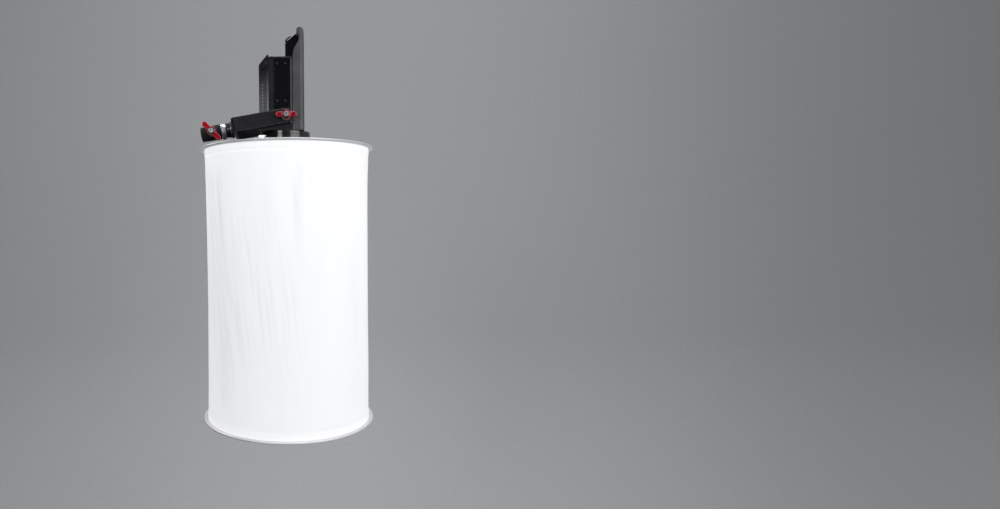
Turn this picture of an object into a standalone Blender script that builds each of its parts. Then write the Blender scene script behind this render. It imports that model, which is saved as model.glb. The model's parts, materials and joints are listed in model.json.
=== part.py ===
"""Space light: an LED lamp head in a tilting yoke, over a collapsible lantern drum of white cloth.

Three frames carry the coordinates. The yoke frame starts at the mouth of the stand socket, with +X towards the
lamp, and slopes down to the socket. The drum frame has +Z up along the drum's axis and starts in the plane of
the top hoop. The head frame, a little higher on the same axis, carries the lamp. Lengths are in metres.
"""
import math

import bmesh
import bpy
from mathutils import Matrix, Vector

MM = 0.001
DEG = math.pi / 180
GAP = 0.3 * MM

# Yoke frame: how the lamp hangs on its stand
YOKE_SLOPE = 9.5 * DEG
SOCKET_TO_PIVOT = 175 * MM
YOKE_WIDTH = 28.5 * MM
YOKE_THICKNESS = 5 * MM
ARM_FACE = 51 * MM
CROSSBAR_X = 66.6 * MM
SOCKET_RADIUS = 8.25 * MM
SOCKET_DEPTH = 48 * MM
RECEIVER_RADIUS = 15 * MM
CLAMP_X = 24 * MM
SCREW_RADIUS = 3.9 * MM
SCREW_HOLE = 4.4 * MM
CLAMP_KNOB_REACH = 24 * MM
TILT_KNOB_REACH = 20 * MM
CLAMP_KNOB_TURN = -44.6 * DEG
TILT_KNOB_TURN = 0 * DEG

# Head frame: the lamp
HEAD_RISE = 3.5 * MM
PIVOT_HEIGHT = 58 * MM
SHELL_BACK = -53 * MM
SHELL_EDGE = -34 * MM
SHELL_TOP = 177 * MM
PANEL_EDGE = -23 * MM
SEAM_X = 13.3 * MM
SPINE_X = 36 * MM
HALF_WIDTH = 47 * MM
CHASSIS_HALF = 43.7 * MM
BODY_LOW = 31.3 * MM
BEZEL_TOP = 43.3 * MM
BODY_TOP = 170.2 * MM
CAP_TOP = 229.5 * MM
NECK_RADIUS = 48.5 * MM
PORT_RADIUS = 30 * MM
SIDE_HOLE_PITCH = 9.6 * MM
SIDE_HOLE_ROWS = 21
BACK_HOLE_PITCH = 16 * MM
BACK_HOLE_ROWS = 12
FAN_X = -20.6 * MM
FAN_SIZE = 60 * MM
FAN_LOW = 141 * MM
FAN_HIGH = 156 * MM
FIN_COUNT = 11
BLADE_COUNT = 7
LEVER_ANGLE = 215 * DEG
SPRING_TURNS = 3
SPRING_WIRE = 0.5 * MM

# Drum frame: the drum, under the neck, the bayonet and its lock
HOOP_RADIUS = 175 * MM
DRUM_HEIGHT = 545 * MM
COLLAR_RADIUS = 164 * MM
CLOTH_THICKNESS = 1 * MM
RING_STEPS = 48
SPOKE_COUNT = 4
SPOKE_THICKNESS = 2.2 * MM
RIVET_RADIUS = 158.4 * MM
FIRST_SPOKE = 45 * DEG


def clear_scene():
    """Removes every object that is in the scene."""
    for thing in list(bpy.data.objects):
        bpy.data.objects.remove(thing, do_unlink=True)


def finish(name, colour, roughness, metallic=0.0):
    """Returns the named finish, made the first time it is asked for."""
    material = bpy.data.materials.get(name)
    if material is None:
        material = bpy.data.materials.new(name)
        material.use_nodes = True
        shader = material.node_tree.nodes["Principled BSDF"]
        shader.inputs["Base Color"].default_value = (*colour, 1.0)
        shader.inputs["Roughness"].default_value = roughness
        shader.inputs["Metallic"].default_value = metallic
    return material


def dark_cast():
    return finish("dark_cast_aluminium", (0.035, 0.035, 0.04), 0.5, 0.6)


def satin_grey():
    return finish("satin_grey_cover", (0.2, 0.2, 0.21), 0.42, 0.5)


def blue_black():
    return finish("blue_black_panel", (0.03, 0.03, 0.038), 0.45)


def gloss_black():
    return finish("gloss_black_neck", (0.012, 0.012, 0.014), 0.15, 0.3)


def grille_metal():
    return finish("perforated_steel", (0.06, 0.06, 0.065), 0.4, 0.7)


def red_anodised():
    return finish("red_anodised", (0.45, 0.008, 0.02), 0.28, 0.8)


def polished_metal():
    return finish("polished_aluminium", (0.82, 0.82, 0.84), 0.16, 1.0)


def raw_aluminium():
    return finish("raw_aluminium", (0.62, 0.63, 0.65), 0.38, 1.0)


def steel():
    return finish("steel", (0.5, 0.5, 0.52), 0.3, 1.0)


def black_screw():
    return finish("black_oxide_screw", (0.02, 0.02, 0.022), 0.38, 0.8)


def brass():
    return finish("brass", (0.7, 0.5, 0.2), 0.3, 1.0)


def fibre():
    return finish("red_brown_fibre", (0.12, 0.05, 0.03), 0.8)


def hoop_silver():
    return finish("hoop_silver", (0.6, 0.61, 0.63), 0.35, 0.9)


def white_silk():
    return finish("white_silk", (0.93, 0.94, 0.95), 0.75)


def white_tape():
    return finish("white_tape", (0.86, 0.87, 0.88), 0.8)


def black_cloth():
    return finish("black_cloth", (0.012, 0.012, 0.013), 0.9)


def clear_glass():
    return finish("clear_glass", (0.9, 0.93, 0.95), 0.03)


def white_ceramic():
    return finish("white_ceramic", (0.85, 0.85, 0.82), 0.5)


def phosphor():
    return finish("phosphor", (0.95, 0.72, 0.2), 0.6)


def green_board():
    return finish("green_board", (0.02, 0.12, 0.05), 0.5)


def black_plastic():
    return finish("black_plastic", (0.018, 0.018, 0.02), 0.45)


def make_empty(name, home, point):
    """Makes an empty at a point of its frame. A frame is an empty without a parent."""
    empty = bpy.data.objects.new(name, None)
    bpy.context.scene.collection.objects.link(empty)
    empty["point"] = (0.0, 0.0, 0.0) if home is None else tuple(point)
    if home is None:
        empty.location = point
    else:
        empty.parent = home
        empty.location = Vector(point) - Vector(home["point"])
    return empty


def make_frame(name, home, point):
    """Makes an empty on another frame's empty, with coordinates of its own that start at the point."""
    frame = make_empty(name, home, point)
    frame["point"] = (0.0, 0.0, 0.0)
    return frame


def make_object(name, shape, home, material=None):
    """Turns a bmesh, drawn in its frame's coordinates, into a named object that hangs on an empty."""
    bmesh.ops.remove_doubles(shape, verts=shape.verts, dist=1e-7)
    bmesh.ops.recalc_face_normals(shape, faces=shape.faces)
    mesh = bpy.data.meshes.new(name)
    shape.to_mesh(mesh)
    shape.free()
    mesh.shade_smooth()
    mesh.set_sharp_from_angle(angle=35 * DEG)
    thing = bpy.data.objects.new(name, mesh)
    bpy.context.scene.collection.objects.link(thing)
    thing.parent = home
    thing.location = -Vector(home["point"])
    if material is not None:
        mesh.materials.append(material)
    return thing


def combine(target, shape, operation):
    """Adds a Boolean whose hidden helper object is drawn in the target's coordinates."""
    label = f"{target.name}_{operation.lower()}_{len(target.modifiers)}"
    helper = make_object(label, shape, target.parent)
    helper.hide_render = True
    helper.display_type = "WIRE"
    boolean = target.modifiers.new(operation.lower(), "BOOLEAN")
    boolean.operation = operation
    boolean.object = helper
    return helper


def cut(target, shape):
    """Takes a shape away from an object."""
    return combine(target, shape, "DIFFERENCE")


def fuse(target, shape):
    """Joins a shape to an object as one body."""
    return combine(target, shape, "UNION")


def keep_common(target, shape):
    """Keeps what an object has in common with a shape."""
    return combine(target, shape, "INTERSECT")


def bevel_edges(target, width, segments=1, angle=50 * DEG):
    """Rounds or chamfers the sharp edges of an object."""
    bevel = target.modifiers.new("bevel", "BEVEL")
    bevel.limit_method = "ANGLE"
    bevel.angle_limit = angle
    bevel.width = width
    bevel.segments = segments


def rounded(corners, steps=4):
    """Returns a closed outline from (a, b, radius) corners, with an arc of that radius at each."""
    outline = []
    for number, (a, b, radius) in enumerate(corners):
        here = Vector((a, b))
        if not radius:
            outline.append((a, b))
            continue
        before = (Vector(corners[number - 1][:2]) - here).normalized()
        after = (Vector(corners[(number + 1) % len(corners)][:2]) - here).normalized()
        half = before.angle(after) / 2
        middle = here + (before + after).normalized() * (radius / math.sin(half))
        start = here + before * (radius / math.tan(half)) - middle
        end = here + after * (radius / math.tan(half)) - middle
        first = math.atan2(start.y, start.x)
        sweep = (math.atan2(end.y, end.x) - first + math.pi) % (2 * math.pi) - math.pi
        for step in range(steps + 1):
            turn = first + sweep * step / steps
            outline.append((middle.x + radius * math.cos(turn), middle.y + radius * math.sin(turn)))
    return outline


def rectangle(low_a, high_a, low_b, high_b, radius=0.0):
    """Returns the four corners of a rectangle for rounded()."""
    return [(low_a, low_b, radius), (high_a, low_b, radius), (high_a, high_b, radius),
            (low_a, high_b, radius)]


def sector(inner, outer, middle, width, steps=4):
    """Returns the outline of a ring's sector about a middle angle."""
    turns = [middle - width / 2 + width * step / steps for step in range(steps + 1)]
    ring = [(outer * math.cos(turn), outer * math.sin(turn)) for turn in turns]
    return ring + [(inner * math.cos(turn), inner * math.sin(turn)) for turn in reversed(turns)]


def add_prism(shape, outline, low, high, along="Z"):
    """Extrudes an outline in its two other axes, in X, Y, Z order, and adds it to a bmesh."""
    order = {"X": (2, 0, 1), "Y": (0, 2, 1), "Z": (0, 1, 2)}[along]

    def place(a, b, c):
        values = (a, b, c)
        return Vector([values[index] for index in order])

    face = shape.faces.new([shape.verts.new(place(a, b, low)) for a, b in outline])
    grown = bmesh.ops.extrude_face_region(shape, geom=[face])["geom"]
    moved = [item for item in grown if isinstance(item, bmesh.types.BMVert)]
    bmesh.ops.translate(shape, verts=moved, vec=place(0, 0, high - low))


def prism(outline, low, high, along="Z"):
    """Returns an extruded outline as a new bmesh."""
    shape = bmesh.new()
    add_prism(shape, outline, low, high, along)
    return shape


def add_block(shape, low, high):
    """Adds a box between two corners."""
    add_prism(shape, rounded(rectangle(low[0], high[0], low[1], high[1])), low[2], high[2])


def add_turned(shape, profile, steps, centre=(0, 0, 0), aim=(0, 0, 1)):
    """Spins (radius, height) points about an axis and adds them. A profile that meets the axis ends there."""
    points = [shape.verts.new((radius, 0, height)) for radius, height in profile]
    solid = profile[0][0] == 0 and profile[-1][0] == 0
    followers = points[1:] if solid else points[1:] + points[:1]
    edges = [shape.edges.new(pair) for pair in zip(points, followers)]
    before = set(shape.verts) - set(points)
    bmesh.ops.spin(shape, geom=points + edges, cent=(0, 0, 0), axis=(0, 0, 1), angle=2 * math.pi,
                   steps=steps, use_merge=True)
    new = [vert for vert in shape.verts if vert not in before]
    turn = Vector((0, 0, 1)).rotation_difference(Vector(aim)).to_matrix().to_4x4()
    bmesh.ops.transform(shape, matrix=Matrix.Translation(centre) @ turn, verts=new)
    bmesh.ops.remove_doubles(shape, verts=new, dist=1e-7)


def turned(profile, steps, centre=(0, 0, 0), aim=(0, 0, 1)):
    """Returns a spun profile as a new bmesh."""
    shape = bmesh.new()
    add_turned(shape, profile, steps, centre, aim)
    return shape


def cylinder(radius, low, high, steps=20, centre=(0, 0, 0), aim=(0, 0, 1)):
    """Returns a plain cylinder between two heights of its axis."""
    return turned([(0, low), (radius, low), (radius, high), (0, high)], steps, centre, aim)


def add_cap_screw(shape, centre, aim, head_radius, head_height, shank_radius, shank_length, steps=12):
    """Adds a screw with a rounded head. The centre is under the head and the aim points out of it."""
    edge = 0.25 * head_height
    profile = [(0, head_height), (head_radius - edge, head_height), (head_radius, head_height - edge),
               (head_radius, 0), (shank_radius, 0), (shank_radius, -shank_length), (0, -shank_length)]
    add_turned(shape, profile, steps, centre, aim)


def polar(radius, angle, height=0.0):
    """Returns the point at a radius, angle and height."""
    return Vector((radius * math.cos(angle), radius * math.sin(angle), height))


def build_yoke(home):
    """Flat bar bent to a U about Z, with round arm ends about the pivot and chamfered edges."""
    outer = ARM_FACE + YOKE_THICKNESS
    end = SOCKET_TO_PIVOT + YOKE_WIDTH
    inner_x = CROSSBAR_X + YOKE_THICKNESS
    corners = [(end, -outer, 0), (CROSSBAR_X, -outer, 9 * MM), (CROSSBAR_X, outer, 9 * MM), (end, outer, 0),
               (end, ARM_FACE, 0), (inner_x, ARM_FACE, 4 * MM), (inner_x, -ARM_FACE, 4 * MM),
               (end, -ARM_FACE, 0)]
    thing = make_object("yoke", prism(rounded(corners, 4), -YOKE_WIDTH, YOKE_WIDTH), home, dark_cast())
    half = YOKE_WIDTH / 2
    side = [(CROSSBAR_X - half, -half)]
    side += [(SOCKET_TO_PIVOT + half * math.cos(turn), half * math.sin(turn))
             for turn in [(-90 + 18 * step) * DEG for step in range(11)]]
    side += [(CROSSBAR_X - half, half)]
    keep_common(thing, prism(side, -outer - half, outer + half, "Y"))
    cut(thing, cylinder(SCREW_HOLE, -outer - half, outer + half, 16, (SOCKET_TO_PIVOT, 0, 0), (0, 1, 0)))
    cut(thing, cylinder(3.2 * MM, 0, SOCKET_TO_PIVOT, 12, (0, 0, 0), (1, 0, 0)))
    bevel_edges(thing, 0.9 * MM, 1, 60 * DEG)
    return thing


def build_receiver(home):
    """Barrel with the blind socket for a 16 mm spigot, a neck and a boss for the clamp screw."""
    neck_x = 41.7 * MM
    end = CROSSBAR_X - GAP
    edge = 1 * MM
    profile = [(SOCKET_RADIUS, 0), (RECEIVER_RADIUS - edge, 0), (RECEIVER_RADIUS, edge),
               (RECEIVER_RADIUS, neck_x), (11 * MM, neck_x), (11 * MM, end), (3.2 * MM, end),
               (3.2 * MM, SOCKET_DEPTH), (SOCKET_RADIUS, SOCKET_DEPTH)]
    thing = make_object("receiver", turned(profile, 24, (0, 0, 0), (1, 0, 0)), home, dark_cast())
    boss = [(0, 12 * MM), (10 * MM, 12 * MM), (10 * MM, 19 * MM), (9 * MM, 20 * MM), (0, 20 * MM)]
    fuse(thing, turned(boss, 16, (CLAMP_X, 0, 0), (0, -1, 0)))
    cut(thing, cylinder(SCREW_HOLE, 4 * MM, 25 * MM, 16, (CLAMP_X, 0, 0), (0, -1, 0)))
    return thing


def build_receiver_collar(home):
    """Turned sleeve with a waist between two bright rims, round the receiver's neck."""
    low, high = 42 * MM, CROSSBAR_X - GAP
    rim, waist, edge = 17 * MM, 14.5 * MM, 0.8 * MM
    profile = [(11.3 * MM, low), (rim - edge, low), (rim, low + edge), (rim, low + 5 * MM),
               (waist, low + 9 * MM), (waist, high - 9 * MM), (rim, high - 5 * MM), (rim, high - edge),
               (rim - edge, high), (11.3 * MM, high)]
    return make_object("receiver_collar", turned(profile, 24, (0, 0, 0), (1, 0, 0)), home, polished_metal())


def build_receiver_screw(home):
    """Cap screw through the crossbar into the receiver."""
    shape = bmesh.new()
    seat = CROSSBAR_X + YOKE_THICKNESS + GAP
    add_cap_screw(shape, (seat, 0, 0), (1, 0, 0), 5 * MM, 5.6 * MM, 2.9 * MM, 19.5 * MM, 12)
    return make_object("receiver_screw", shape, home, black_screw())


def build_clamp_shoe(home):
    """Brass pad that bears on the spigot, at the tip of the clamp screw."""
    shape = cylinder(SCREW_RADIUS, 8.05 * MM, 11.2 * MM, 12, (CLAMP_X, 0, 0), (0, -1, 0))
    return make_object("clamp_shoe", shape, home, brass())


def build_knob_screw(name, home, x, tip, hub_face):
    """Steel screw along -Y, from its tip to a head on the outer face of its knob's hub."""
    shape = bmesh.new()
    seat = hub_face + GAP
    add_cap_screw(shape, (x, -seat, 0), (0, -1, 0), 5 * MM, 2.6 * MM, SCREW_RADIUS, seat - tip, 12)
    return make_object(name, shape, home, steel())


def build_wing_knob(name, home, x, hub_low, hub_high, reach, turn):
    """Two-winged knob about a Y axis: a round hub and a pinched bar with a groove in each wing."""
    wing_low = hub_low + 3.5 * MM
    wing_high = hub_high - 1.5 * MM
    tip, pinch = 5.6 * MM, 4 * MM
    corners = [(-reach, -tip, 5 * MM), (0, -pinch, 0), (reach, -tip, 5 * MM), (reach, tip, 5 * MM),
               (0, pinch, 0), (-reach, tip, 5 * MM)]
    spin = Matrix.Rotation(turn - YOKE_SLOPE, 2)
    bar = [spin @ Vector(point) for point in rounded(corners, 3)]
    bar = [(x + point.x, point.y) for point in bar]
    thing = make_object(name, prism(bar, -wing_high, -wing_low, "Y"), home, red_anodised())
    hub = [(0, hub_low), (8.5 * MM, hub_low), (8.5 * MM, hub_high - 1 * MM), (7.5 * MM, hub_high),
           (0, hub_high)]
    fuse(thing, turned(hub, 16, (x, 0, 0), (0, -1, 0)))
    for side in (-1, 1):
        ends = sorted((side * 10.5 * MM, side * (reach - 3.5 * MM)))
        groove = rounded(rectangle(*ends, -2 * MM, 2 * MM, 1.9 * MM), 3)
        groove = [spin @ Vector(point) for point in groove]
        groove = [(x + point.x, point.y) for point in groove]
        cut(thing, prism(groove, -wing_high - 1 * MM, -wing_high + 1.2 * MM, "Y"))
    cut(thing, cylinder(SCREW_HOLE, hub_low - 2 * MM, hub_high + 2 * MM, 16, (x, 0, 0), (0, -1, 0)))
    return thing


def build_far_pivot_screw(home):
    """Plain screw of the far pivot, opposite the knob."""
    shape = bmesh.new()
    seat = ARM_FACE + YOKE_THICKNESS + GAP
    add_cap_screw(shape, (SOCKET_TO_PIVOT, seat, 0), (0, 1, 0), 8 * MM, 4.5 * MM, SCREW_RADIUS, 19.5 * MM, 16)
    return make_object("far_pivot_screw", shape, home, black_screw())


def build_pivot_ring(name, home, side, inner_face, outer_face, radius, material):
    """Flat washer on the tilt axis between two distances from the middle."""
    profile = [(SCREW_HOLE, inner_face), (radius, inner_face), (radius, outer_face), (SCREW_HOLE, outer_face)]
    shape = turned(profile, 20, (SOCKET_TO_PIVOT, 0, 0), (0, side, 0))
    return make_object(name, shape, home, material)


def build_pivot_bush(name, home, side):
    """Flanged bush in the lamp's side, bored for the pivot screw."""
    profile = [(SCREW_HOLE, 36 * MM), (8 * MM, 36 * MM), (8 * MM, 46.8 * MM), (13 * MM, 46.8 * MM),
               (13 * MM, 48.7 * MM), (SCREW_HOLE, 48.7 * MM)]
    return make_object(name, turned(profile, 20, (0, 0, PIVOT_HEIGHT), (0, side, 0)), home, steel())


def build_chassis(home):
    """U-shaped inner frame, open to the perforated side, with holes for the bushes."""
    wall = 3 * MM
    back = SHELL_EDGE - 2 * MM
    outline = [(back, -CHASSIS_HALF), (SEAM_X, -CHASSIS_HALF), (SEAM_X, CHASSIS_HALF), (back, CHASSIS_HALF),
               (back, CHASSIS_HALF - wall), (SEAM_X - wall, CHASSIS_HALF - wall),
               (SEAM_X - wall, wall - CHASSIS_HALF), (back, wall - CHASSIS_HALF)]
    thing = make_object("chassis", prism(outline, BEZEL_TOP + GAP, BODY_TOP), home, dark_cast())
    notch = bmesh.new()
    add_block(notch, (5 * MM, -34 * MM, 40 * MM), (20 * MM, 34 * MM, 61 * MM))
    cut(thing, notch)
    cut(thing, cylinder(8.4 * MM, -60 * MM, 60 * MM, 20, (0, 0, PIVOT_HEIGHT), (0, 1, 0)))
    return thing


def build_side_panel(name, home, side):
    """Dark side panel with a chamfered strip that falls to the seam beside the spine cover."""
    face = 46.5 * MM
    low = CHASSIS_HALF + GAP
    outline = [(PANEL_EDGE, side * low), (PANEL_EDGE, side * (face - 1.5 * MM)),
               (PANEL_EDGE + 1.5 * MM, side * face), (4 * MM, side * face), (SEAM_X, side * (low + 0.8 * MM)),
               (SEAM_X, side * low)]
    thing = make_object(name, prism(outline, BEZEL_TOP + GAP, BODY_TOP), home, blue_black())
    cut(thing, cylinder(8.4 * MM, -60 * MM, 60 * MM, 20, (0, 0, PIVOT_HEIGHT), (0, 1, 0)))
    return thing


def spine_corners(inset=0.0):
    """Corners of the spine cover's section: square at the seam and well rounded outside."""
    low = SEAM_X + GAP
    high, half = SPINE_X - inset, HALF_WIDTH - inset
    return [(low, -half, 0), (high, -half, 9 * MM - inset), (high, half, 9 * MM - inset), (low, half, 0)]


def build_spine_cover(home):
    """Channel-shaped top cover that runs the whole length of the lamp."""
    outer = rounded(spine_corners(), 5)
    inner = rounded([(a - (1 * MM if radius == 0 else 0), b, radius)
                     for a, b, radius in spine_corners(3 * MM)], 5)
    thing = make_object("spine_cover", prism(outer, BODY_LOW, BODY_TOP), home, satin_grey())
    cut(thing, prism(inner, BODY_LOW - 1 * MM, BODY_TOP + 1 * MM))
    return thing


def cap_profile():
    """Side outline of the rear cap: a leaning front that hooks over the slanted block, under a round top."""
    low = BODY_TOP + GAP
    front = [(SEAM_X + GAP, low), (SEAM_X + GAP, 176 * MM), (15.7 * MM, 188 * MM), (24.4 * MM, 202.4 * MM),
             (26.2 * MM, 213.4 * MM), (21.6 * MM, 220.4 * MM)]
    top = [(21.0 * MM, 223.6 * MM), (21.9 * MM, 226.6 * MM), (24.2 * MM, 228.8 * MM), (27.6 * MM, CAP_TOP),
           (31.0 * MM, 228.8 * MM), (33.8 * MM, 226.4 * MM), (35.4 * MM, 222.8 * MM), (SPINE_X, 218 * MM)]
    return front + top + [(SPINE_X, low)]


def build_rear_cap(home):
    """Rear end of the top cover: the cover's section cut to the cap's side outline."""
    outer = rounded(spine_corners(), 5)
    thing = make_object("rear_cap", prism(outer, BODY_TOP + GAP, CAP_TOP + 5 * MM), home, satin_grey())
    keep_common(thing, prism(cap_profile(), -60 * MM, 60 * MM, "Y"))
    return thing


def slant_line():
    """Low end, unit direction and outward normal of the slanted rear face, as (x, z)."""
    low, high = Vector((3.0 * MM, 205.4 * MM)), Vector((20.6 * MM, 219.4 * MM))
    along = (high - low).normalized()
    return low, along, Vector((-along.y, along.x))


def build_rear_housing(home):
    """Dark block behind the body, with a slanted face for the inlet and a hollow that opens forwards."""
    low = BODY_TOP + 3.6 * MM
    foot, along, normal = slant_line()
    top = foot + along * 22.2 * MM
    outline = [(-1 * MM, low), (-1 * MM, 200.4 * MM), tuple(foot), tuple(top), (25.7 * MM, 213 * MM),
               (24.0 * MM, 202.6 * MM), (15.3 * MM, 188.2 * MM), (13.2 * MM, 176 * MM), (13.2 * MM, low)]
    thing = make_object("rear_housing", prism(outline, -40 * MM, 40 * MM, "Y"), home, blue_black())
    bevel_edges(thing, 1.2 * MM, 2, 60 * DEG)
    return thing


def build_rear_trim(home):
    """Thin bright-edged plate on the slanted face."""
    foot, along, normal = slant_line()
    near, far = foot + along * 0.6 * MM, foot + along * 21.4 * MM
    outline = [near + normal * GAP, far + normal * GAP, far + normal * 1.5 * MM, near + normal * 1.5 * MM]
    thing = make_object("rear_trim", prism([tuple(point) for point in outline], -37 * MM, 37 * MM, "Y"), home,
                        polished_metal())
    bevel_edges(thing, 0.4 * MM)
    return thing


def inlet_place():
    """Centre of the power inlet's foot and its outward direction."""
    foot, along, normal = slant_line()
    point = foot + along * 11 * MM + normal * 1.8 * MM
    return (point.x, 0, point.y), (normal.x, 0, normal.y)


def build_power_inlet(home):
    """Round panel connector with a flange, a ring and a deep socket."""
    centre, aim = inlet_place()
    profile = [(0, 0), (9.2 * MM, 0), (9.2 * MM, 1.6 * MM), (7.6 * MM, 2.2 * MM), (7.6 * MM, 9.4 * MM),
               (7.0 * MM, 10 * MM), (5.8 * MM, 10 * MM), (5.8 * MM, 3 * MM), (0, 3 * MM)]
    return make_object("power_inlet", turned(profile, 20, centre, aim), home, black_plastic())


def build_inlet_insert(home):
    """Insulator in the inlet's socket, with four contact pins standing in it."""
    centre, aim = inlet_place()
    floor = 3 * MM + GAP
    turn = Vector((0, 0, 1)).rotation_difference(Vector(aim))
    disc = cylinder(5.4 * MM, floor, floor + 1.6 * MM, 16, centre, aim)
    thing = make_object("inlet_insert", disc, home, brass())
    pins = bmesh.new()
    for number in range(4):
        spot = Vector(centre) + turn @ polar(2.7 * MM, (45 + 90 * number) * DEG, floor + 1 * MM)
        add_turned(pins, [(0, 0), (0.8 * MM, 0), (0.8 * MM, 4.3 * MM), (0, 4.9 * MM)], 6, spot, aim)
    fuse(thing, pins)
    return thing


def build_rear_plate(home):
    """Rear cover of the body, with two rows of slots that let the warm air out."""
    low = BODY_TOP + GAP
    shape = prism(rounded(rectangle(SHELL_EDGE + GAP, SEAM_X, -46.5 * MM, 46.5 * MM)), low, low + 3 * MM)
    thing = make_object("rear_plate", shape, home, dark_cast())
    slots = bmesh.new()
    for column in (-1, 1):
        for row in range(5):
            x = -29 * MM + 5.6 * MM * row
            low_y, high_y = sorted((column * 4 * MM, column * 38 * MM))
            add_block(slots, (x - 1.4 * MM, low_y, low - 1 * MM), (x + 1.4 * MM, high_y, low + 5 * MM))
    cut(thing, slots)
    return thing


def shell_solid(name, home, inset, low, material):
    """Long box with a sloped rear corner under a short flat top, drawn smaller all round by the inset."""
    x = SHELL_BACK + inset
    half = HALF_WIDTH - 1 * MM - inset
    edge = SHELL_EDGE + (4 * MM if inset else 0)
    corners = [(x, -half, 4 * MM - inset), (edge, -half, 0), (edge, half, 0), (x, half, 4 * MM - inset)]
    thing = make_object(name, prism(rounded(corners, 3), low, 190 * MM), home, material)
    slope = (180 - 157.5) / (53 - 34)
    rear = 157.5 * MM - inset * 0.45
    top = SHELL_TOP - inset
    side = [(x - 5 * MM, low - 1 * MM), (x - 5 * MM, rear - 5 * MM * slope), (x + (top - rear) / slope, top),
            (0, top), (0, low - 1 * MM)]
    keep_common(thing, prism(side, -60 * MM, 60 * MM, "Y"))
    return thing


def add_diamond(shape, a, b, reach, low, high, along):
    """Adds a long square bar on its corner, for a perforation."""
    outline = [(a - reach, b), (a, b - reach), (a + reach, b), (a, b + reach)]
    add_prism(shape, outline, low, high, along)


def build_grille_shell(home):
    """Perforated sheet trough under the lamp, which the cooling air enters through."""
    thing = shell_solid("grille_shell", home, 0.0, BEZEL_TOP + GAP, grille_metal())
    core = shell_solid("grille_shell_core", home, 2 * MM, BEZEL_TOP - 2 * MM, None)
    core.hide_render = True
    core.display_type = "WIRE"
    hollow = thing.modifiers.new("hollow", "BOOLEAN")
    hollow.operation = "DIFFERENCE"
    hollow.object = core
    holes = bmesh.new()
    for row in range(SIDE_HOLE_ROWS):
        z = 51 * MM + row * SIDE_HOLE_PITCH / 2
        for column in range(2 - row % 2):
            x = -47.4 * MM + SIDE_HOLE_PITCH * (column + 0.5 * (row % 2))
            add_diamond(holes, x, z, 0.37 * SIDE_HOLE_PITCH, -60 * MM, 60 * MM, "Y")
    for row in range(BACK_HOLE_ROWS):
        z = 54 * MM + row * BACK_HOLE_PITCH / 2
        for column in range(5 - row % 2):
            y = (column - 2 + 0.5 * (row % 2)) * BACK_HOLE_PITCH
            add_diamond(holes, y, z, 0.4 * BACK_HOLE_PITCH, SHELL_BACK - 3 * MM, SHELL_BACK + 3 * MM, "X")
    cut(thing, holes)
    return thing


def build_bezel(home):
    """Front frame with the light port, a ledge for the glass and a tongue that the spine cover sits over."""
    half = HALF_WIDTH
    tongue = SPINE_X - 3.3 * MM
    corners = [(SHELL_BACK, -half, 4 * MM), (SEAM_X, -half, 0), (SEAM_X, -CHASSIS_HALF, 0),
               (tongue, -CHASSIS_HALF, 5.7 * MM), (tongue, CHASSIS_HALF, 5.7 * MM), (SEAM_X, CHASSIS_HALF, 0),
               (SEAM_X, half, 0), (SHELL_BACK, half, 4 * MM)]
    thing = make_object("bezel", prism(rounded(corners, 3), BODY_LOW, BEZEL_TOP), home, dark_cast())
    ledge = BODY_LOW + 1.4 * MM
    opening = PORT_RADIUS - 2.5 * MM
    port = [(0, BODY_LOW - 1 * MM), (opening, BODY_LOW - 1 * MM), (opening, ledge), (PORT_RADIUS, ledge),
            (PORT_RADIUS, BEZEL_TOP + 1 * MM), (0, BEZEL_TOP + 1 * MM)]
    cut(thing, turned(port, 32))
    return thing


def build_mount_neck(home):
    """Gloss black ring that carries the bayonet, with a slot for the release lever."""
    low, high = 15.3 * MM, BODY_LOW + HEAD_RISE - GAP
    wall, flange = 44.5 * MM, 36 * MM
    profile = [(wall, low), (NECK_RADIUS, low), (NECK_RADIUS, high), (flange, high), (flange, 28 * MM),
               (wall, 28 * MM)]
    thing = make_object("mount_neck", turned(profile, 44), home, gloss_black())
    slot = prism(rounded(rectangle(40 * MM, 52 * MM, -3.6 * MM, 3.6 * MM)), 19.4 * MM, 25.6 * MM)
    bmesh.ops.rotate(slot, verts=slot.verts, matrix=Matrix.Rotation(LEVER_ANGLE, 3, "Z"))
    cut(thing, slot)
    return thing


def build_bayonet_plate(home):
    """Flat ring with three gaps that let the lugs of an accessory in."""
    low, high = 12 * MM, 15 * MM
    profile = [(40.3 * MM, low), (NECK_RADIUS, low), (NECK_RADIUS, high), (40.3 * MM, high)]
    thing = make_object("bayonet_plate", turned(profile, 44), home, raw_aluminium())
    gaps = bmesh.new()
    for number in range(3):
        middle = LEVER_ANGLE + (60 + 120 * number) * DEG
        add_prism(gaps, sector(38 * MM, 44.3 * MM, middle, 36 * DEG), low - 1 * MM, high + 1 * MM)
    cut(thing, gaps)
    return thing


def build_release_lever(home):
    """Bent metal tab outside the neck, on a stem that reaches the pin through the slot."""
    stem = [(39.6 * MM, -3 * MM), (49.2 * MM, -3 * MM), (49.2 * MM, -9 * MM), (60 * MM, -9 * MM),
            (60 * MM, 9 * MM), (49.2 * MM, 9 * MM), (49.2 * MM, 3 * MM), (39.6 * MM, 3 * MM)]
    lever = prism(stem, 20 * MM, 22 * MM)
    tab = bmesh.new()
    add_block(tab, (59 * MM, -9 * MM, 11 * MM), (61.4 * MM, 9 * MM, 23.4 * MM))
    for shape in (lever, tab):
        bmesh.ops.rotate(shape, verts=shape.verts, matrix=Matrix.Rotation(LEVER_ANGLE, 3, "Z"))
    thing = make_object("release_lever", lever, home, polished_metal())
    fuse(thing, tab)
    bevel_edges(thing, 0.5 * MM, 1, 60 * DEG)
    return thing


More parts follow.
